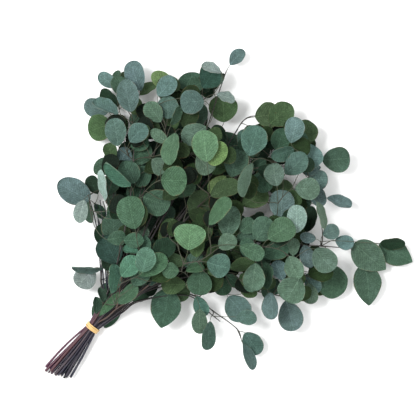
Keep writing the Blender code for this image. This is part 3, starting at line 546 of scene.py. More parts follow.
def flat_leaf(bunch, x, y):
    """Grows a leaf that lies flat on the table, for the bunch to rest on."""
    dx, dy = reach(x, y, FLAT_HALF)
    base, tip = (place(x + side * dx, y + side * dy, BLADE_THICKNESS / 2) for side in (-1, 1))
    bunch.grow(base, tip, FLAT_WIDTH * (tip - base).length, ROUND_TIP, 0, 0, [0], "d")


def make_bunch():
    """Grows the resting leaves, those of the plan from the tie outwards, and the hidden ones."""
    bunch = Bunch()
    chance = random.Random(SEED)
    for x, y in FLAT_LEAVES:
        flat_leaf(bunch, x, y)
    rows = [(row, ROUND_TIP) for row in ROUND_LEAVES] + [(row, POINTED_TIP) for row in POINTED_LEAVES]
    for row, tip_power in sorted(rows, key=lambda r: math.dist(r[0][:2], TIE_ON_PLAN)):
        leaf_on_plan(bunch, row, tip_power, chance)
    grown = 0
    for _ in range(HIDDEN_TRIES * HIDDEN_LEAVES):
        grown += grown < HIDDEN_LEAVES and hidden_leaf(bunch, chance)
    return bunch


# What only this scene adds
FILL_LEAVES = 300
FILL_TRIES = 7000
COVER_LEAVES = 70
COVER_TRIES = 16  # for each bare spot on a stem
COVER_STEP = 5  # points of a stem from one spot to the next
COVER_DRIFT = 6  # on the plan, from the bare spot
COVER_RISE = (2, 6)  # in mm, over the stem
COVER_TIP = (0.4, 0.65)
FILL_CLEARANCE = 0.3 * MM
FILL_BOUNDS = ((92, 345), (62, 325))  # on the plan
FILL_BOTTOM = 0.03  # of the dome's height
FILL_TOP = 0.85
OPEN_FILL_TOP = 0.3  # above this a leaf goes only where others cover it
FILL_COVER = 3  # how many of a leaf's five test points the leaves above must cover
FOLIAGE_OUTLINE = [  # of the dense foliage, on the plan
    (104, 78), (120, 66), (134, 66), (141, 92), (154, 92), (156, 76), (175, 73), (195, 72), (206, 66),
    (222, 76), (219, 94), (208, 103), (208, 121), (222, 132), (239, 140), (243, 126), (252, 108),
    (272, 103), (292, 105), (298, 119), (315, 123), (317, 140), (321, 150), (320, 164), (326, 178),
    (322, 192), (318, 205), (306, 214), (304, 236), (322, 250), (338, 262), (344, 282), (330, 294),
    (316, 300), (300, 302), (284, 298), (262, 294), (240, 294), (226, 291), (214, 294), (192, 292),
    (178, 296), (164, 322), (150, 300), (134, 300), (114, 314), (102, 318), (100, 300), (103, 270),
    (97, 240), (99, 215), (95, 190), (99, 165), (92, 132), (98, 118), (112, 116), (104, 100), (112, 92),
]
# Leaves round the neck and in thin places: stalk end, tip and width on the plan, then the height in mm
NECK_LEAVES = [
    (121, 292, 99, 316, 9, 39, "r"), (112, 298, 92, 316, 18, 5, "d"), (121, 302, 104, 328, 15, 5, "d"),
    (152, 288, 130, 300, 15, 8, "d"), (116, 285, 104, 301, 8, 22, "m"), (134, 272, 125, 291, 9, 44, "m"),
    (160, 268, 141, 283, 13, 50, "r"), (106, 283, 101, 297, 9, 10, "d"),
    (264, 280, 280, 293, 17, 14, "d"), (302, 172, 321, 167, 13, 34, "b"), (170, 130, 152, 122, 13, 14, "n"),
    (136, 240, 128, 224, 13, 30, "k"),
]
NECK_TIP = 0.7
NECK_ARCH = 0.03
NECK_TWIGS = [  # plan x, y and height in mm
    [(102, 292, 22), (100, 262, 24), (98, 236, 23), (94, 215, 22), (90, 201, 28)],
    [(104, 290, 26), (102, 262, 30), (99, 238, 28), (98, 218, 27), (96, 204, 30)],
    [(107, 288, 28), (105, 262, 36), (103, 235, 33), (102, 215, 31), (100, 200, 36)],
    [(108, 284, 30), (107, 258, 30), (106, 234, 29), (106, 214, 30), (103, 201, 34)],
    [
        (97, 323, 19), (107, 317, 28), (116, 309, 38), (127, 302, 46), (137, 295, 52), (145, 288, 56),
        (151, 283, 58),
    ],
    [(116, 309, 38), (119, 298, 50), (120, 287, 60), (122, 276, 64), (124, 268, 62)],
]
DARK_TWIGS = 4  # the first so many of the list
FOLIAGE_GAPS = [  # places where the table shows, with the radius that stays free
    (291, 176, 10), (249, 209, 10), (264, 210, 10), (312, 268, 6), (150, 97, 9), (132, 117, 6), (318, 222, 6),
    (236, 138, 7), (303, 197, 5), (112, 315, 7), (106, 135, 6), (163, 93, 5),
]
FINE_STATIONS = 18  # stretches along a blade
FINE_COLUMNS = 8  # and across it
FINE_THICKNESS = 0.42 * MM
STEM_FINE_STEPS = 9
STALK_FINE_STEPS = 10
FINE_RADIUS_CUT = 1.45 * MM
FINE_RADIUS_TIE = 1.18 * MM
FINE_RADIUS_TIP = 0.5 * MM
FINE_TWIG_RADIUS = 0.68 * MM
STALK_RADIUS = 0.46 * MM
STALK_TIP_RADIUS = 0.32 * MM
THIN_RADIUS_CUT = 0.8 * MM
THIN_RADIUS_TIE = 0.5 * MM
LOW_STEPS = 7  # points of a stem below the tie
CUT_RIM = 0.12  # of the radius, which keeps the bark's colour round a cut end
JOINT_SWELL = 0.3
JOINT_REACH = 2.2 * MM
THIN_REACH = (0.45, 0.8)  # how much of its neighbour's length a thin stem follows
THIN_DRIFT = 7  # in mm, from its neighbour at its tip
THIN_AWAY = 2.1 * MM
NECK_TWIG_RADII = (0.85, 0.95)  # in mm, of the dark and the brown ones
NECK_TWIG_TAPER = 0.35
RELIEF_STEPS = (1, 0.6, 0.3, 0.1)  # how much of its relief a leaf keeps, as its neighbours leave room
MIDRIB_SHARES = (0.06, 0.14, 0.3, 0.5, 0.75)  # of the blade's length, where the midrib's points lie
MIDRIB_GROOVE = 0.16 * MM

# How one blade differs from another: each of these is drawn between two bounds, or from a list
CUP = (-0.08, 0.2)
FOLDS = (0.05, 0.12, 0.18, 0.26)
FOLD_SHARE = (0.6, 1)
RIPPLE = (0.15, 0.6)  # in mm
WAVES = (1.2, 2.8)
CURL = (-2.2, 0.8)  # in mm, at the tip
NOTCH = (0.004, 0.02)  # of the width
NOTCH_WAVE = 15.7
BEND = (-0.035, 0.035)  # of the length
POWER_SHARE = (0.95, 1.3)
LIGHTNESS = (0.86, 1.14)
HUE = (0.96, 1.04)
GREYNESS = (-0.08, 0.1)
BAND_TURNS = 4
BAND_STEPS = 72
BAND_CORNERS = 12
BAND_SKEW = (0.12, 0.3)  # in mm
BAND_SWELL = (0.92, 1.04)

# The table, the light and the camera
FLOOR_SIZE = 6
FLOOR_DEPTH = 0.0004
FLOOR_GREY = 0.93
SKY_POWER = 1.1
LAMPS = {"key": ((-0.3, 0.8, 1.75), 0.6, 42), "fill": ((0.9, -0.7, 1.8), 1.6, 5)}  # place, size and power

# The plan's leaf colours by letter, and then other colours, all as shown on a screen. The near-black tones n
# and z are painted shade for leaves low in the crowded foliage; the dark olive k is partly the leaves' own
# tone and partly painted shade.
TONES = {
    "b": (72, 94, 90), "g": (60, 81, 74), "s": (66, 87, 72), "p": (100, 115, 110), "i": (102, 124, 115),
    "t": (58, 84, 74), "e": (38, 59, 51), "m": (60, 83, 68), "r": (55, 80, 60), "x": (70, 98, 72),
    "d": (49, 72, 57), "o": (51, 70, 45), "y": (74, 96, 58), "q": (62, 95, 77), "n": (24, 41, 29),
    "k": (31, 46, 25), "z": (13, 22, 15),
}
PAINTED_SHADE_TONES = "zn"  # near-black tones that paint the shade among the crowded leaves: a filling leaf of these tones that nothing covers takes the open tone instead
OPEN_TONE = "d"
SHOWN_SHARE = 0.8  # of its half length, which a covering leaf keeps free round the middle of one that shows
BLOOM_LIFT = (1.55, 1.45, 1.6)  # how much lighter the bloom is than the blade, and then the veins
VEIN_LIFT = (2.1, 1.95, 2.0)
UNDER_COLOUR = (112, 132, 112)
SPECK_COLOUR = (72, 54, 38)
DRY_EDGE_COLOUR = (92, 70, 48)
BLOTCH_COLOUR = (104, 78, 70)
PORE_COLOUR = (128, 106, 92)
BARK_CUT_END = (168, 148, 112)
BARK_LOW = (60, 36, 46)
BARK_LOW_DARK = (14, 20, 32)
BARK_HIGH = (24, 20, 20)
TWIG_COLOUR = (42, 38, 30)
STALK_COLOUR = (50, 56, 38)
NECK_TWIG_COLOUR = (62, 46, 38)
BAND_COLOUR = (206, 172, 112)


def linear(colour):
    """A screen colour from 0 to 255 as the shader's linear one."""
    return [(c / 255 / 12.92) if c < 10.3 else ((c / 255 + 0.055) / 1.055) ** 2.4 for c in colour]


def mix(first, second, share):
    """A colour between two others."""
    return [a + (b - a) * share for a, b in zip(first, second)]


def inside_outline(x, y):
    """Whether a place on the plan lies in the dense foliage and in none of its gaps."""
    if any(math.dist((x, y), gap[:2]) < gap[2] for gap in FOLIAGE_GAPS):
        return False
    inside = False
    for (x1, y1), (x2, y2) in zip(FOLIAGE_OUTLINE, FOLIAGE_OUTLINE[1:] + FOLIAGE_OUTLINE[:1]):
        if (y1 > y) != (y2 > y) and x < x1 + (y - y1) / (y2 - y1) * (x2 - x1):
            inside = not inside
    return inside


def covered(point, items):
    """Whether a blade lies over this point."""
    up = Vector((0, 0, 1))
    for item in items:
        if item.kind != "blade" or item.high[2] < point.z:
            continue
        if item.low[0] < point.x < item.high[0] and item.low[1] < point.y < item.high[1]:
            if item.tree.ray_cast(point, up)[0]:
                return True
    return False


def on_plan(point):
    """Where a point is seen on the plan."""
    flat = Matrix.Rotation(AXIS_ON_PLAN, 3, "Z") @ point
    unit = PLAN_UNIT * (1 - point.z / VIEW_HEIGHT)
    return flat.x / unit + PLAN_MIDDLE[0], PLAN_MIDDLE[1] - flat.y / unit


def shown_middles(bunch):
    """Where the middle of each leaf that nothing covers is seen on the plan."""
    middles = [blade_point(leaf, 0.5) for _, leaf in bunch.leaves]
    return [on_plan(middle) for middle in middles if not covered(middle + Vector((0, 0, MM)), bunch.items)]


def tilt(habit, chance):
    """A leaf's pitch, roll, arch and tone, drawn as its habit says."""
    pitch = chance.uniform(*habit.pitch) * MM
    roll = chance.uniform(-habit.roll, habit.roll)
    return pitch, roll, chance.uniform(*habit.arch), chance.choice(habit.tones)


def cover_stem(bunch, point, shown, chance):
    """Grows a leaf over a bare spot on a stem. It says whether it could."""
    for _ in range(COVER_TRIES):
        x, y = on_plan(point)
        swing, half = chance.uniform(-COVER.swing, COVER.swing), chance.uniform(*COVER.half)
        width = chance.uniform(*COVER.width)
        dx, dy = reach(x, y, half, swing)
        x, y = (k + chance.uniform(-COVER_DRIFT, COVER_DRIFT) for k in (x, y))
        rise = chance.uniform(*COVER_RISE) * MM
        pitch, roll, arch, tone = tilt(COVER, chance)
        if not all(inside_outline(x + side * dx, y + side * dy) for side in (-1, 0, 1)):
            continue
        if any(math.dist((x, y), middle) < SHOWN_SHARE * half for middle in shown):
            continue
        base = place(x - dx, y - dy, point.z + rise - pitch / 2)
        tip = place(x + dx, y + dy, point.z + rise + pitch / 2)
        width *= 2 * half * PLAN_UNIT
        tip_power = chance.uniform(*COVER_TIP)
        if bunch.grow(base, tip, width, tip_power, roll, arch, [0, 1.5 * MM, 3 * MM], tone):
            return True
    return False


def cover_stems(bunch):
    """Hides most of the stems in the middle of the foliage, as the plant's crowded upper leaves do."""
    chance = random.Random(SEED + 3)
    shown = shown_middles(bunch)
    grown = 0
    for name in BRANCHES:
        line = fine_stem(name)
        for point in line[2 * STEM_FINE_STEPS::COVER_STEP]:
            if grown < COVER_LEAVES and inside_outline(*on_plan(point)) and not covered(point, bunch.items):
                grown += cover_stem(bunch, point, shown, chance)


def fill_leaf(bunch, chance):
    """Grows one more leaf low in the foliage, or higher up where others cover most of it."""
    x, y = (chance.uniform(*bounds) for bounds in FILL_BOUNDS)
    share = chance.uniform(FILL_BOTTOM, FILL_TOP)
    half = chance.uniform(*FILL.half)
    dx, dy = reach(x, y, half, chance.uniform(-FILL.swing, FILL.swing))
    width = chance.uniform(*FILL.width)
    pitch, roll, arch, tone = tilt(FILL, chance)
    side_x, side_y = dy * width, dx * width
    ends = [(x, y), (x - dx, y - dy), (x + dx, y + dy), (x - side_x, y + side_y), (x + side_x, y - side_y)]
    if not all(inside_outline(*end) for end in ends):
        return False
    height = 4 * MM + share * dome_height(x, y)
    if share > OPEN_FILL_TOP and sum(covered(place(*end, height), bunch.items) for end in ends) < FILL_COVER:
        return False
    # Painted shade: the near-black tones stay only on leaves that others cover.
    if tone in PAINTED_SHADE_TONES and not covered(place(x, y, height), bunch.items):
        tone = OPEN_TONE
    base, tip = place(*ends[1], height - pitch / 2), place(*ends[2], max(height + pitch / 2, MM))
    lifts = [0, 3 * MM, -3 * MM]
    return bunch.grow(base, tip, 2 * half * width * PLAN_UNIT, ROUND_TIP, roll, arch, lifts, tone)


def neck_leaf(bunch, row, chance):
    """Grows a leaf of the list as the others grow, or else lays it where the list says, above the crowd."""
    base_x, base_y, tip_x, tip_y, width, height, tone = row
    base, tip = place(base_x, base_y, height * MM), place(tip_x, tip_y, height * MM)
    lifts = [step * side * 1.2 * MM for step in range(4) for side in (1, -1)]
    roll = chance.uniform(-0.3, 0.3)
    if not bunch.grow(base, tip, width * PLAN_UNIT, NECK_TIP, roll, NECK_ARCH, lifts, tone):
        leaf = new_leaf(base, tip, width * PLAN_UNIT, NECK_TIP, roll, NECK_ARCH, tone)
        perch = min(bunch.perches, key=lambda perch: (perch.point - base + 2 * MM * leaf.along).length)
        bunch.leaves.append((perch, leaf))


def add_fill(bunch):
    """Thickens the foliage with more leaves between those of the plan."""
    chance = random.Random(SEED + 1)
    bunch.clearance = FILL_CLEARANCE
    for row in NECK_LEAVES:
        neck_leaf(bunch, row, chance)
    cover_stems(bunch)
    grown = 0
    for _ in range(FILL_TRIES):
        grown += grown < FILL_LEAVES and fill_leaf(bunch, chance)


class Sheet:
    """Points, faces, their places on the leaf or stem and their colours, gathered for one mesh."""

    def __init__(self):
        self.points, self.faces, self.colours, self.real, self.own, self.traits = [], [], [], [], [], []

    def add(self, point, colour, real, own, trait):
        """Adds a point, with its place in cm, its place as a share of the piece and its traits."""
        self.points.append(point)
        self.colours.append((*colour, 1))
        self.real.append(real)
        self.own.append(own)
        self.traits.append((*trait, 1))
        return len(self.points) - 1

    def face(self, *corners):
        kept = [c for k, c in enumerate(corners) if c != corners[k - 1]]
        if len(kept) > 2:
            self.faces.append(kept)

    def skin(self, rings):
        """Faces from each ring of points to the next."""
        for low, high in zip(rings, rings[1:]):
            for k in range(len(low)):
                ahead = (k + 1) % len(low)
                self.face(low[k], low[ahead], high[ahead], high[k])

    def as_object(self, name, material, sharp=60):
        mesh = bpy.data.meshes.new(name)
        mesh.from_pydata(self.points, [], self.faces)
        for title, values in (("tone", self.colours), ("traits", self.traits)):
            layer = mesh.color_attributes.new(title, "FLOAT_COLOR", "POINT")
            layer.data.foreach_set("color", [c for value in values for c in value])
        for title, values in (("real", self.real), ("own", self.own)):
            layer = mesh.uv_layers.new(name=title)
            layer.data.foreach_set("uv", [c for loop in mesh.loops for c in values[loop.vertex_index]])
        mesh.shade_smooth()
        mesh.set_sharp_from_angle(angle=math.radians(sharp))
        mesh.materials.append(material)
        thing = bpy.data.objects.new(name, mesh)
        bpy.context.scene.collection.objects.link(thing)
        return thing


class FineLeaf:
    """A blade's fine shape: cupped, folded on its midrib, rippled towards its edge and curled at its tip."""

    def __init__(self, leaf, number):
        chance = random.Random(SEED * 1000 + number)
        self.leaf = leaf
        self.cup = chance.uniform(*CUP)
        self.fold = chance.choice(FOLDS) * chance.uniform(*FOLD_SHARE)
        self.ripple = chance.uniform(*RIPPLE) * MM
        self.waves = chance.uniform(*WAVES)
        self.phase = [chance.uniform(0, math.tau) for _ in range(4)]
        self.curl = chance.uniform(*CURL) * MM
        self.notch = [chance.uniform(*NOTCH) for _ in range(2)]
        self.bend = chance.uniform(*BEND) * leaf.length
        self.powers = [power * chance.uniform(*POWER_SHARE) for power in (BASE_POWER, leaf.tip_power)]
        light = chance.uniform(*LIGHTNESS)
        tone = [c * light * chance.uniform(*HUE) for c in linear(TONES[leaf.tone])]
        self.tone = mix(tone, [sum(tone) / 3] * 3, chance.uniform(*GREYNESS))
        self.mark = (chance.random(), chance.random())
        self.strength = 1

    def spot(self, share, side, lift=0.0):
        """A point on the blade, and how far across it lies."""
        leaf, right = self.leaf, side > 0
        notch = self.notch[right] * math.sin(share * NOTCH_WAVE + self.phase[right])
        across = side * bulge(leaf.width, *self.powers, share) * (1 + notch)
        height = self.cup * leaf.width * (side * side - 0.3) * 0.5
        height += self.fold * (abs(across) - 0.2 * leaf.width)
        turn = share * math.tau * self.waves + self.phase[2 + right]
        height += self.ripple * abs(side) ** 2.5 * math.sin(turn)
        height = (height * min(1, 6 * share) + self.curl * share**3) * self.strength
        if abs(side) < 0.01:
            height -= MIDRIB_GROOVE * math.sin(math.pi * share)
        sway = self.bend * math.sin(math.pi * share)
        point = leaf.base + leaf.along * leaf.length * share + leaf.across * (across + sway)
        arch = leaf.arch * leaf.length * 4 * share * (1 - share)
        return point + leaf.normal * (arch + height + lift), across

    def as_item(self):
        """The blade as something that others keep away from."""
        shares, sides = (0.0, 0.15, 0.3, 0.5, 0.7, 0.85, 1.0), (-1, -0.5, 0, 0.5, 1)
        points = [self.spot(share, side)[0] for share in shares for side in sides]
        faces = [(k, k + 1, k + 6, k + 5) for row in range(6) for k in range(row * 5, row * 5 + 4)]
        return item_of("blade", None, points, faces)

    def settle(self, others):
        """Takes as much of the relief as leaves the blade clear of the others."""
        for self.strength in RELIEF_STEPS:
            item = self.as_item()
            if not touches(item, others):
                break
        others.append(item)


def add_leaf(sheet, fine):
    """The blade as two skins with a thin edge between them."""
    leaf = fine.leaf
    shares = [(1 - math.cos(math.pi * k / FINE_STATIONS)) / 2 for k in range(FINE_STATIONS + 1)]
    sides = [math.sin(math.pi * (k / FINE_COLUMNS - 0.5)) for k in range(FINE_COLUMNS + 1)]
    edges = {}
    for layer in (1, -1):
        grid = []
        for share in shares:
            row = []
            for side in sides:
                if share in (0, 1) and row:
                    row.append(row[0])
                    continue
                point, across = fine.spot(share, side, layer * FINE_THICKNESS / 2)
                real, own = (share * leaf.length * 100, across * 100), (share, 0.5 + side / 2)
                row.append(sheet.add(point, fine.tone, real, own, (fine.mark[0], layer < 0, fine.mark[1])))
            grid.append(row)
        for low, high in zip(grid, grid[1:]):
            for k in range(FINE_COLUMNS):
                quad = (low[k], low[k + 1], high[k + 1], high[k])
                sheet.face(*(quad[::-1] if layer > 0 else quad))
        edges[layer] = [row[0] for row in grid] + [row[-1] for row in reversed(grid[1:-1])]
    sheet.skin([edges[1], edges[-1]])


def ring_frames(line):
    """For each point of a line, the directions across it, turned as little as possible along the way."""
    side = None
    frames = []
    for before, after in zip([line[0], *line], [*line[1:], line[-1]]):
        ahead = (after - before).normalized()
        side = ahead.orthogonal() if side is None else side - ahead * side.dot(ahead)
        side.normalize()
        frames.append((side.copy(), ahead.cross(side), ahead))
    return frames


def add_tube(sheet, line, radii, colours, sides, end_colour=None, slant=0.0):
    """A round stick along a line. A cut end has its own colour and may be slanted."""
    rings = []
    run = 0
    for number, (point, radius, (side, other, ahead)) in enumerate(zip(line, radii, ring_frames(line))):
        run += (point - line[number - 1]).length if number else 0
        ring = []
        for corner in range(sides):
            turn = math.tau * corner / sides
            out = side * math.cos(turn) + other * math.sin(turn)
            lean = ahead * slant * radius * math.cos(turn) if number == 0 else Vector()
            real, own = (radius * 100 * turn, run * 100), (corner / sides, run)
            ring.append(sheet.add(point + out * radius + lean, colours[number], real, own, (0, 0, 0)))
        rings.append(ring)
    sheet.skin(rings)
    end = rings[0]
    if end_colour:
        points = [sheet.points[k] for k in end]
        middle = sum(points, Vector()) / sides
        cap = [sheet.add(p.lerp(middle, CUT_RIM), end_colour, (0, 0), (0, 0), (0, 0, 1)) for p in points]
        sheet.skin([cap, end])
        end = cap
    sheet.face(*end[::-1])
    sheet.face(*rings[-1])


def fine_stem(name):
    """The stem's middle line with more points."""
    return stem_route(*BRANCHES[name], STEM_FINE_STEPS)


def add_stem(sheet, name, joints):
    """A stem that swells a little at each joint, dark and rough below the tie and browner above it."""
    chance = random.Random(name)
    line = fine_stem(name)
    low = bark_tone(BRANCHES[name][0][0], chance)
    radii, colours = [], []
    for number, point in enumerate(line):
        beyond = max(0, number - 2) / (len(line) - 3)
        radius = FINE_RADIUS_TIP + (FINE_RADIUS_TIE - FINE_RADIUS_TIP) * (1 - beyond) ** 1.3
        swell = max((math.exp(-(((point - joint).length / JOINT_REACH) ** 2)) for joint in joints), default=0)
        radii.append(radius * (1 + JOINT_SWELL * swell) if number > 2 else radius)
        colours.append(mix(low, linear(mix(BARK_HIGH, TWIG_COLOUR, beyond**3)), min(1, beyond * 4)))
    radii[0] = FINE_RADIUS_CUT
    add_cut_stem(sheet, line, radii, colours, 12, chance)


def bark_tone(side, chance):
    """Purplish bark on the left of the bundle and near black on its right."""
    share = min(1, max(0, 0.45 - side * 0.42 + chance.uniform(-0.32, 0.32)))
    return [c * chance.uniform(0.55, 1.35) for c in mix(linear(BARK_LOW), linear(BARK_LOW_DARK), share)]


def add_cut_stem(sheet, line, radii, colours, sides, chance):
    """A stem whose stretch below the tie bows a little and ends in a slanting cut."""
    cut, tie = line[0], line[1]
    bow = (tie - cut).cross(Vector((0, 0, 1))).normalized() * chance.uniform(-1.8, 1.8) * MM
    low = [cut.lerp(tie, k / LOW_STEPS) + bow * math.sin(math.pi * k / LOW_STEPS) for k in range(LOW_STEPS)]
    taper = [radii[0] + (radii[1] - radii[0]) * k / LOW_STEPS for k in range(LOW_STEPS)]
    radii = [radius * (1 + 0.07 * math.sin(k * 2.4)) for k, radius in enumerate(taper)] + radii[1:]
    colours = [colours[0]] * LOW_STEPS + colours[1:]
    add_tube(sheet, low + line[1:], radii, colours, sides, linear(BARK_CUT_END), chance.uniform(-0.7, 0.7))


def thin_stems():
    """The places in the tie between the stems, each with the branch beside which a thin stem runs on."""
    found = []
    for name, ((side, row), _) in BRANCHES.items():
        if any(slot == (side + 1, row) for slot, _ in BRANCHES.values()):
            for way in (1, -1):
                if any(slot == (side + 0.5, row + way) for slot, _ in BRANCHES.values()):
                    found.append((name, (side + 0.5, row + way / 3)))
    return found


def add_thin_stem(sheet, name, slot):
    """A thin stem between the others, which follows its neighbour into the foliage."""
    chance = random.Random(name + str(slot))
    own, beside = BRANCHES[name][0], fine_stem(name)
    line = stem_route(slot, BRANCHES[name][1], STEM_FINE_STEPS)
    count = round(len(line) * chance.uniform(*THIN_REACH))
    drift = Vector([chance.uniform(-1, 1) for _ in range(3)]).normalized() * THIN_DRIFT * MM
    start = line[2] - beside[2]
    for number in range(2, count):
        share = (number - 2) / (count - 3)
        away = start.normalized() * (start.length * (1 - share) + THIN_AWAY * min(1, 2 * share))
        line[number] = beside[number] + away + drift * share**2
    line = line[:count]
    radii = [THIN_RADIUS_CUT, THIN_RADIUS_TIE, THIN_RADIUS_TIE]
    radii += [THIN_RADIUS_TIE + 0.25 * MM * math.sin(math.pi * k / (count - 3)) for k in range(1, count - 2)]
    low = bark_tone(own[0] + chance.uniform(-0.8, 0.8), chance)
    colours = [mix(low, linear(BARK_HIGH), min(1, 3 * k / count)) for k in range(count)]
    add_cut_stem(sheet, line, radii, colours, 8, chance)


def add_stalk(sheet, line, fine, carries):
    """A leaf's stalk, which is a twig if others hang on it, and runs on below the blade as its midrib."""
    leaf = fine.leaf
    base_radius = FINE_TWIG_RADIUS if carries else STALK_RADIUS
    radii, colours = [], []
    for number in range(len(line)):
        t = number / (len(line) - 1)
        radii.append(base_radius + (STALK_TIP_RADIUS - base_radius) * t**0.8)
        colours.append(mix(linear(TWIG_COLOUR), linear(STALK_COLOUR), t if carries else 0.4 + 0.6 * t))
    line, pale = list(line), mix(linear(TONES[leaf.tone]), linear(STALK_COLOUR), 0.6)
    for share in MIDRIB_SHARES:
        line.append(fine.spot(share, 0, -FINE_THICKNESS * 0.75)[0])
        radii.append(STALK_TIP_RADIUS * (1 - share) * 0.7)
        colours.append(pale)
    add_tube(sheet, line, radii, colours, 6)


def paint(colour):
    """A screen colour as a socket takes it."""
    return (*linear(colour), 1)


class Finish:
    """A material and its nodes. Each method adds what it is named after and gives what comes out of it."""

    def __init__(self, name):
        self.material = bpy.data.materials.new(name)
        self.material.use_nodes = True
        self.tree = self.material.node_tree
        self.shader = self.tree.nodes["Principled BSDF"].inputs

    def feed(self, socket, value):
        if isinstance(value, bpy.types.NodeSocket):
            self.tree.links.new(value, socket)
        else:
            socket.default_value = value

    def node(self, kind, links=(), **settings):
        """A node with its settings and, by input name or number, what feeds it."""
        made = self.tree.nodes.new("ShaderNode" + kind)
        for key, value in settings.items():
            setattr(made, key, value)
        for key, value in dict(links).items():
            self.feed(made.inputs[key], value)
        return made.outputs

    def attribute(self, name):
        return self.node("Attribute", attribute_name=name)["Color"]

    def uv(self, name):
        return self.node("UVMap", uv_map=name)[0]

    def maths(self, operation, *values):
        return self.node("Math", dict(enumerate(values)), operation=operation)[0]

    def times(self, first, second):
        return self.maths("MULTIPLY", first, second)

    def spread(self, value, low, high, to_low, to_high):
        """Carries a value from one range to another."""
        return self.node("MapRange", dict(enumerate((value, low, high, to_low, to_high))))[0]

    def edge(self, value, low, high):
        """Rises smoothly from 0 at low to 1 at high, or falls where low is the larger."""
        return self.node("MapRange", dict(enumerate((value, low, high))), interpolation_type="SMOOTHSTEP")[0]

    def blend(self, share, first, second, mode="MIX"):
        return self.node("Mix", {0: share, 6: first, 7: second}, data_type="RGBA", blend_type=mode)[2]

    def tint(self, first, second):
        return self.blend(1.0, first, second, "MULTIPLY")

    def noise(self, vector, scale, detail=3.0, roughness=0.55):
        links = {"Vector": vector, "Scale": scale, "Detail": detail, "Roughness": roughness}
        return self.node("TexNoise", links)[0]

    def streaks(self, vector, scale, detail, roughness=0.55):
        """Noise drawn out along the second direction."""
        return self.noise(self.node("Mapping", {"Vector": vector, "Scale": scale})[0], 1.0, detail, roughness)

    def close(self, body, rough, gloss, relief, strength, depth):
        """Feeds the shader its colour, roughness, specular level and relief."""
        self.feed(self.shader["Base Color"], body)
        self.feed(self.shader["Roughness"], rough)
        if gloss is not None:
            self.feed(self.shader["Specular IOR Level"], gloss)
        bump = self.node("Bump", {"Height": relief, "Strength": strength, "Distance": depth * MM})[0]
        self.feed(self.shader["Normal"], bump)
        return self.material


def leaf_material():
    """A matt leaf skin: mottled, with a pale midrib and side veins, a waxy bloom and a paler underside."""
    skin = Finish("eucalyptus_leaf")
    maths, times, edge = skin.maths, skin.times, skin.edge
    noise, blend, tint = skin.noise, skin.blend, skin.tint
    tone = skin.attribute("tone")
    mark, under, second_mark = skin.node("SeparateColor", {0: skin.attribute("traits")})
    along, across, _ = skin.node("SeparateXYZ", {0: skin.uv("real")})
    share, side, _ = skin.node("SeparateXYZ", {0: skin.uv("own")})
    spot = skin.node("CombineXYZ", {0: along, 1: across, 2: times(mark, 60.0)})[0]
    off_rib = maths("ABSOLUTE", across)
    off_middle = maths("ABSOLUTE", maths("SUBTRACT", side, 0.5))
    # veins: the midrib, side veins that slope towards the tip, one along the edge and a fine network
    rib = edge(maths("DIVIDE", off_rib, maths("MULTIPLY_ADD", share, -0.035, 0.055)), 1.0, 0.4)
    slope = maths("MULTIPLY_ADD", off_rib, -0.8, along)
    phase = maths("MULTIPLY_ADD", slope, 3.4, times(noise(spot, 1.6, 2.0), 1.2))
    swing = maths("ABSOLUTE", maths("SUBTRACT", maths("FRACT", phase), 0.5))
    laterals = times(edge(swing, 0.09, 0.03), edge(off_middle, 0.49, 0.38))
    hem = times(edge(off_middle, 0.415, 0.43), edge(off_middle, 0.445, 0.43))
    cells = skin.node("TexVoronoi", {"Vector": spot, "Scale": 7.0}, feature="DISTANCE_TO_EDGE")
    network = edge(cells["Distance"], 0.1, 0.02)
    veins = maths("MAXIMUM", times(laterals, 0.75), times(hem, 0.35))
    veins = maths("MAXIMUM", maths("MAXIMUM", veins, times(network, 0.4)), rib)
    # the blade between them: mottled and grained, with painted shade in the creases along the side veins, and
    # painted shade towards the stalk end, where other leaves overlap it, so that it grows lighter towards the
    # tip
    mottle = skin.spread(noise(spot, 2.2, 5.0, 0.65), 0.3, 0.7, 0.78, 1.22)
    grain = skin.spread(noise(spot, 5.5, 4.0, 0.75), 0.3, 0.7, 0.7, 1.34)
    crease_shade = skin.spread(swing, 0.05, 0.4, 0.8, 1.08)
    body = tint(tone, times(mottle, grain))
    # Painted shade: darker beside the side veins and towards the stalk end.
    body = tint(body, times(crease_shade, maths("MULTIPLY_ADD", share, 0.22, 0.88)))
    bloom = times(edge(noise(spot, 0.7, 4.0, 0.7), 0.42, 0.75), 0.6)
    body = blend(bloom, body, tint(body, (*BLOOM_LIFT, 1)))
    pale = tint(body, (*VEIN_LIFT, 1))
    body = blend(times(veins, 0.8), body, pale)
    body = blend(under, body, blend(0.4, body, paint(UNDER_COLOUR)))
    # a few brown specks, and a pale edge that is dry in places
    specks = skin.node("TexVoronoi", {"Vector": spot, "Scale": 1.4})
    rare = edge(skin.node("SeparateColor", {0: specks["Color"]})[0], 0.8, 0.84)
    dots = times(times(edge(specks["Distance"], 0.1, 0.05), rare), edge(second_mark, 0.35, 0.6))
    body = blend(times(dots, 0.7), body, paint(SPECK_COLOUR))
    rim = edge(off_middle, 0.46, 0.49)
    dry = edge(noise(spot, 1.1, 2.0), 0.45, 0.62)
    body = blend(times(rim, 0.6), body, pale)
    body = blend(times(times(rim, dry), 0.5), body, paint(DRY_EDGE_COLOUR))
    rough = skin.spread(noise(spot, 5.0, 3.0), 0.3, 0.7, 0.55, 0.78)
    relief = maths("MULTIPLY_ADD", noise(spot, 12.0, 4.0, 0.65), 0.5, times(veins, -0.5))
    return skin.close(body, rough, 0.09, maths("MULTIPLY_ADD", swing, 0.8, relief), 1.0, 0.6)


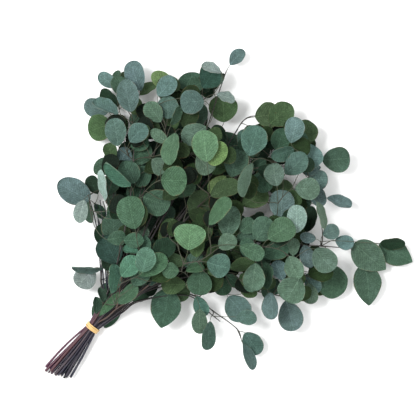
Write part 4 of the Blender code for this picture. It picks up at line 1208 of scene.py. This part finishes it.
def bark_material():
    """Thin smooth bark with long streaks, small pale pores and a fibrous cut end."""
    skin = Finish("eucalyptus_bark")
    tone, spot = skin.attribute("tone"), skin.uv("real")
    cut_end = skin.node("SeparateColor", {0: skin.attribute("traits")})[2]
    streak = skin.streaks(spot, (16.0, 1.1, 1.0), 4.0, 0.6)
    blotch = skin.noise(spot, 0.9)
    body = skin.tint(tone, skin.spread(streak, 0.3, 0.7, 0.62, 1.6))
    body = skin.blend(skin.edge(blotch, 0.5, 0.68), body, skin.blend(0.1, body, paint(BLOTCH_COLOUR)))
    pores = skin.node("TexVoronoi", {"Vector": spot, "Scale": 5.0})["Distance"]
    body = skin.blend(skin.times(skin.edge(pores, 0.16, 0.08), 0.14), body, paint(PORE_COLOUR))
    body = skin.blend(cut_end, body, skin.tint(tone, skin.maths("MULTIPLY_ADD", blotch, 0.8, 0.5)))
    return skin.close(body, 0.45, 0.4, skin.maths("MULTIPLY_ADD", pores, -0.3, streak), 0.6, 0.3)


def band_material():
    """A pale natural rubber band, faintly ribbed along its length."""
    skin = Finish("natural_rubber_band")
    tone = skin.attribute("tone")
    ribs = skin.streaks(skin.uv("real"), (30.0, 1.4, 1.0), 3.0)
    return skin.close(skin.tint(tone, skin.spread(ribs, 0.3, 0.7, 0.62, 1.18)), 0.42, None, ribs, 0.5, 0.15)


def add_band(sheet):
    """Turns of a flat rubber band side by side round the stems, each a little askew."""
    chance = random.Random(SEED + 2)
    pitch = TIE_WIDTH / BAND_TURNS
    outline = tie_outline(STEM_RADIUS_TIE + TIE_CLEARANCE + TIE_THICKNESS / 2, BAND_STEPS)
    matrix = tie_matrix()
    axis = matrix.to_3x3() @ Vector((0, 0, 1))
    for turn in range(BAND_TURNS):
        middle = (turn + 0.5) * pitch - TIE_WIDTH / 2
        skew, start = chance.uniform(*BAND_SKEW) * MM, chance.uniform(0, math.tau)
        swell = chance.uniform(*BAND_SWELL)
        line = []
        for step, point in enumerate(outline):
            angle = math.tau * step / BAND_STEPS + start
            line.append(matrix @ (point * swell**0.2 + Vector((0, 0, middle + skew * math.sin(angle)))))
        tone = [c * chance.uniform(0.94, 1.04) for c in linear(BAND_COLOUR)]
        rings, run = [], 0
        for number, point in enumerate(line):
            before, after = line[number - 1], line[(number + 1) % BAND_STEPS]
            out = (after - before).normalized().cross(axis).normalized()
            run += (point - before).length if number else 0
            ring = []
            for corner in range(BAND_CORNERS):
                angle = math.tau * corner / BAND_CORNERS
                reach_up, reach_out = abs(math.cos(angle)) ** 0.6, abs(math.sin(angle)) ** 0.7
                shift = axis * math.copysign(reach_up, math.cos(angle)) * pitch * 0.52
                shift = shift + out * math.copysign(reach_out, math.sin(angle)) * TIE_THICKNESS * 0.42
                real = (corner / BAND_CORNERS * 0.4, run * 100)
                ring.append(sheet.add(point + shift, tone, real, (0, 0), (0, 0, 0)))
            rings.append(ring)
        sheet.skin([*rings, rings[0]])


def add_neck_twigs(sheet):
    """The dark twigs up the bunch's left side, and two brown ones that fork on top of the bundle."""
    for number, route in enumerate(NECK_TWIGS):
        line = smooth_route([place(x, y, z * MM) for x, y, z in route], STEM_FINE_STEPS)
        dark = number < DARK_TWIGS
        radii = [(NECK_TWIG_RADII[not dark] - NECK_TWIG_TAPER * k / len(line)) * MM for k in range(len(line))]
        add_tube(sheet, line, radii, [linear(BARK_LOW_DARK if dark else NECK_TWIG_COLOUR)] * len(line), 10)


def dress(bunch, shift):
    """Every branch's leaves and wood, and the band, as pieces that stand for the model's nodes."""
    leaf_skin, bark, band = leaf_material(), bark_material(), band_material()
    lines, joints = {}, {name: [] for name in BRANCHES}
    blades = {name: Sheet() for name in BRANCHES}
    wood = {name: Sheet() for name in BRANCHES}
    stems = {name: fine_stem(name) for name in BRANCHES}
    carriers = {perch.twig for perch, _ in bunch.leaves if perch.twig is not None}
    others = []
    for number, (perch, leaf) in enumerate(bunch.leaves):
        parent = stems[perch.branch] if perch.twig is None else lines[perch.twig]
        start = min(parent, key=lambda point: (point - perch.point).length)
        if perch.twig is None:
            joints[perch.branch].append(start)
        lines[number] = stalk_line(start, perch.along, leaf.base, leaf.along, STALK_FINE_STEPS)
        fine = FineLeaf(leaf, number)
        fine.settle(others)
        add_stalk(wood[perch.branch], lines[number], fine, number in carriers)
        add_leaf(blades[perch.branch], fine)
    for name, slot in thin_stems():
        add_thin_stem(wood[name], name, slot)
    add_neck_twigs(wood["branch_crest"])
    for name in BRANCHES:
        add_stem(wood[name], name, joints[name])
        finish_piece(blades[name].as_object(name + "_leaves", leaf_skin), shift, name)
        finish_piece(wood[name].as_object(name + "_wood", bark, 70), shift, name)
    turns = Sheet()
    add_band(turns)
    finish_piece(turns.as_object("tie_band_turns", band), shift, "tie_band")


def finish_piece(piece, shift, replaced):
    """Moves a piece from the plan to the model, keeps it off the table, hangs it on the root and hides the
    model's node that it stands for.
    """
    piece.data.transform(Matrix.Translation(shift))
    for vertex in piece.data.vertices:
        vertex.co.z = max(vertex.co.z, 0)
    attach(piece, "root")
    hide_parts(replaced)


def plan_shift():
    """How far the model was moved from the plan to put its origin under its middle."""
    corners = tie_rims(STEM_RADIUS_TIE + TIE_CLEARANCE + TIE_THICKNESS, 0.4)
    grown = [(min(c[k] for c in corners) + max(c[k] for c in corners)) / 2 for k in range(3)]
    low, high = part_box("tie_band")
    return Vector([(low[k] + high[k]) / 2 - grown[k] for k in range(3)])


def put(name, data, spot, turn):
    """Puts a lamp or a camera in the scene."""
    thing = bpy.data.objects.new(name, data)
    thing.location, thing.rotation_euler = spot, turn
    bpy.context.scene.collection.objects.link(thing)
    return thing


def light_and_camera(shift):
    """A white table under even light from above, seen straight from above as in the photo."""
    bpy.ops.mesh.primitive_plane_add(size=FLOOR_SIZE, location=(0, 0, -FLOOR_DEPTH))
    floor = bpy.context.object
    floor.name = "floor"
    paper = Finish("white_paper")
    paper.feed(paper.shader["Base Color"], (FLOOR_GREY, FLOOR_GREY, FLOOR_GREY, 1))
    paper.feed(paper.shader["Roughness"], 0.9)
    floor.data.materials.append(paper.material)
    world = bpy.data.worlds.new("studio")
    bpy.context.scene.world = world
    world.use_nodes = True
    sky = world.node_tree.nodes["Background"].inputs
    sky[0].default_value, sky[1].default_value = (1, 1, 1, 1), SKY_POWER
    for name, (spot, size, power) in LAMPS.items():
        lamp = bpy.data.lights.new(name, "AREA")
        lamp.size, lamp.energy = size, power
        put(name, lamp, spot, (-Vector(spot)).to_track_quat("-Z", "Y").to_euler())
    camera = bpy.data.cameras.new("camera")
    camera.angle = 2 * math.atan(PLAN_MIDDLE[0] * PLAN_UNIT / VIEW_HEIGHT)
    eye = put("camera", camera, (shift.x, shift.y, VIEW_HEIGHT), (0, 0, -AXIS_ON_PLAN))
    bpy.context.scene.camera = eye
    bpy.context.scene.view_settings.view_transform = "Standard"


bunch = make_bunch()
add_fill(bunch)
shift = plan_shift()
dress(bunch, shift)
light_and_camera(shift)
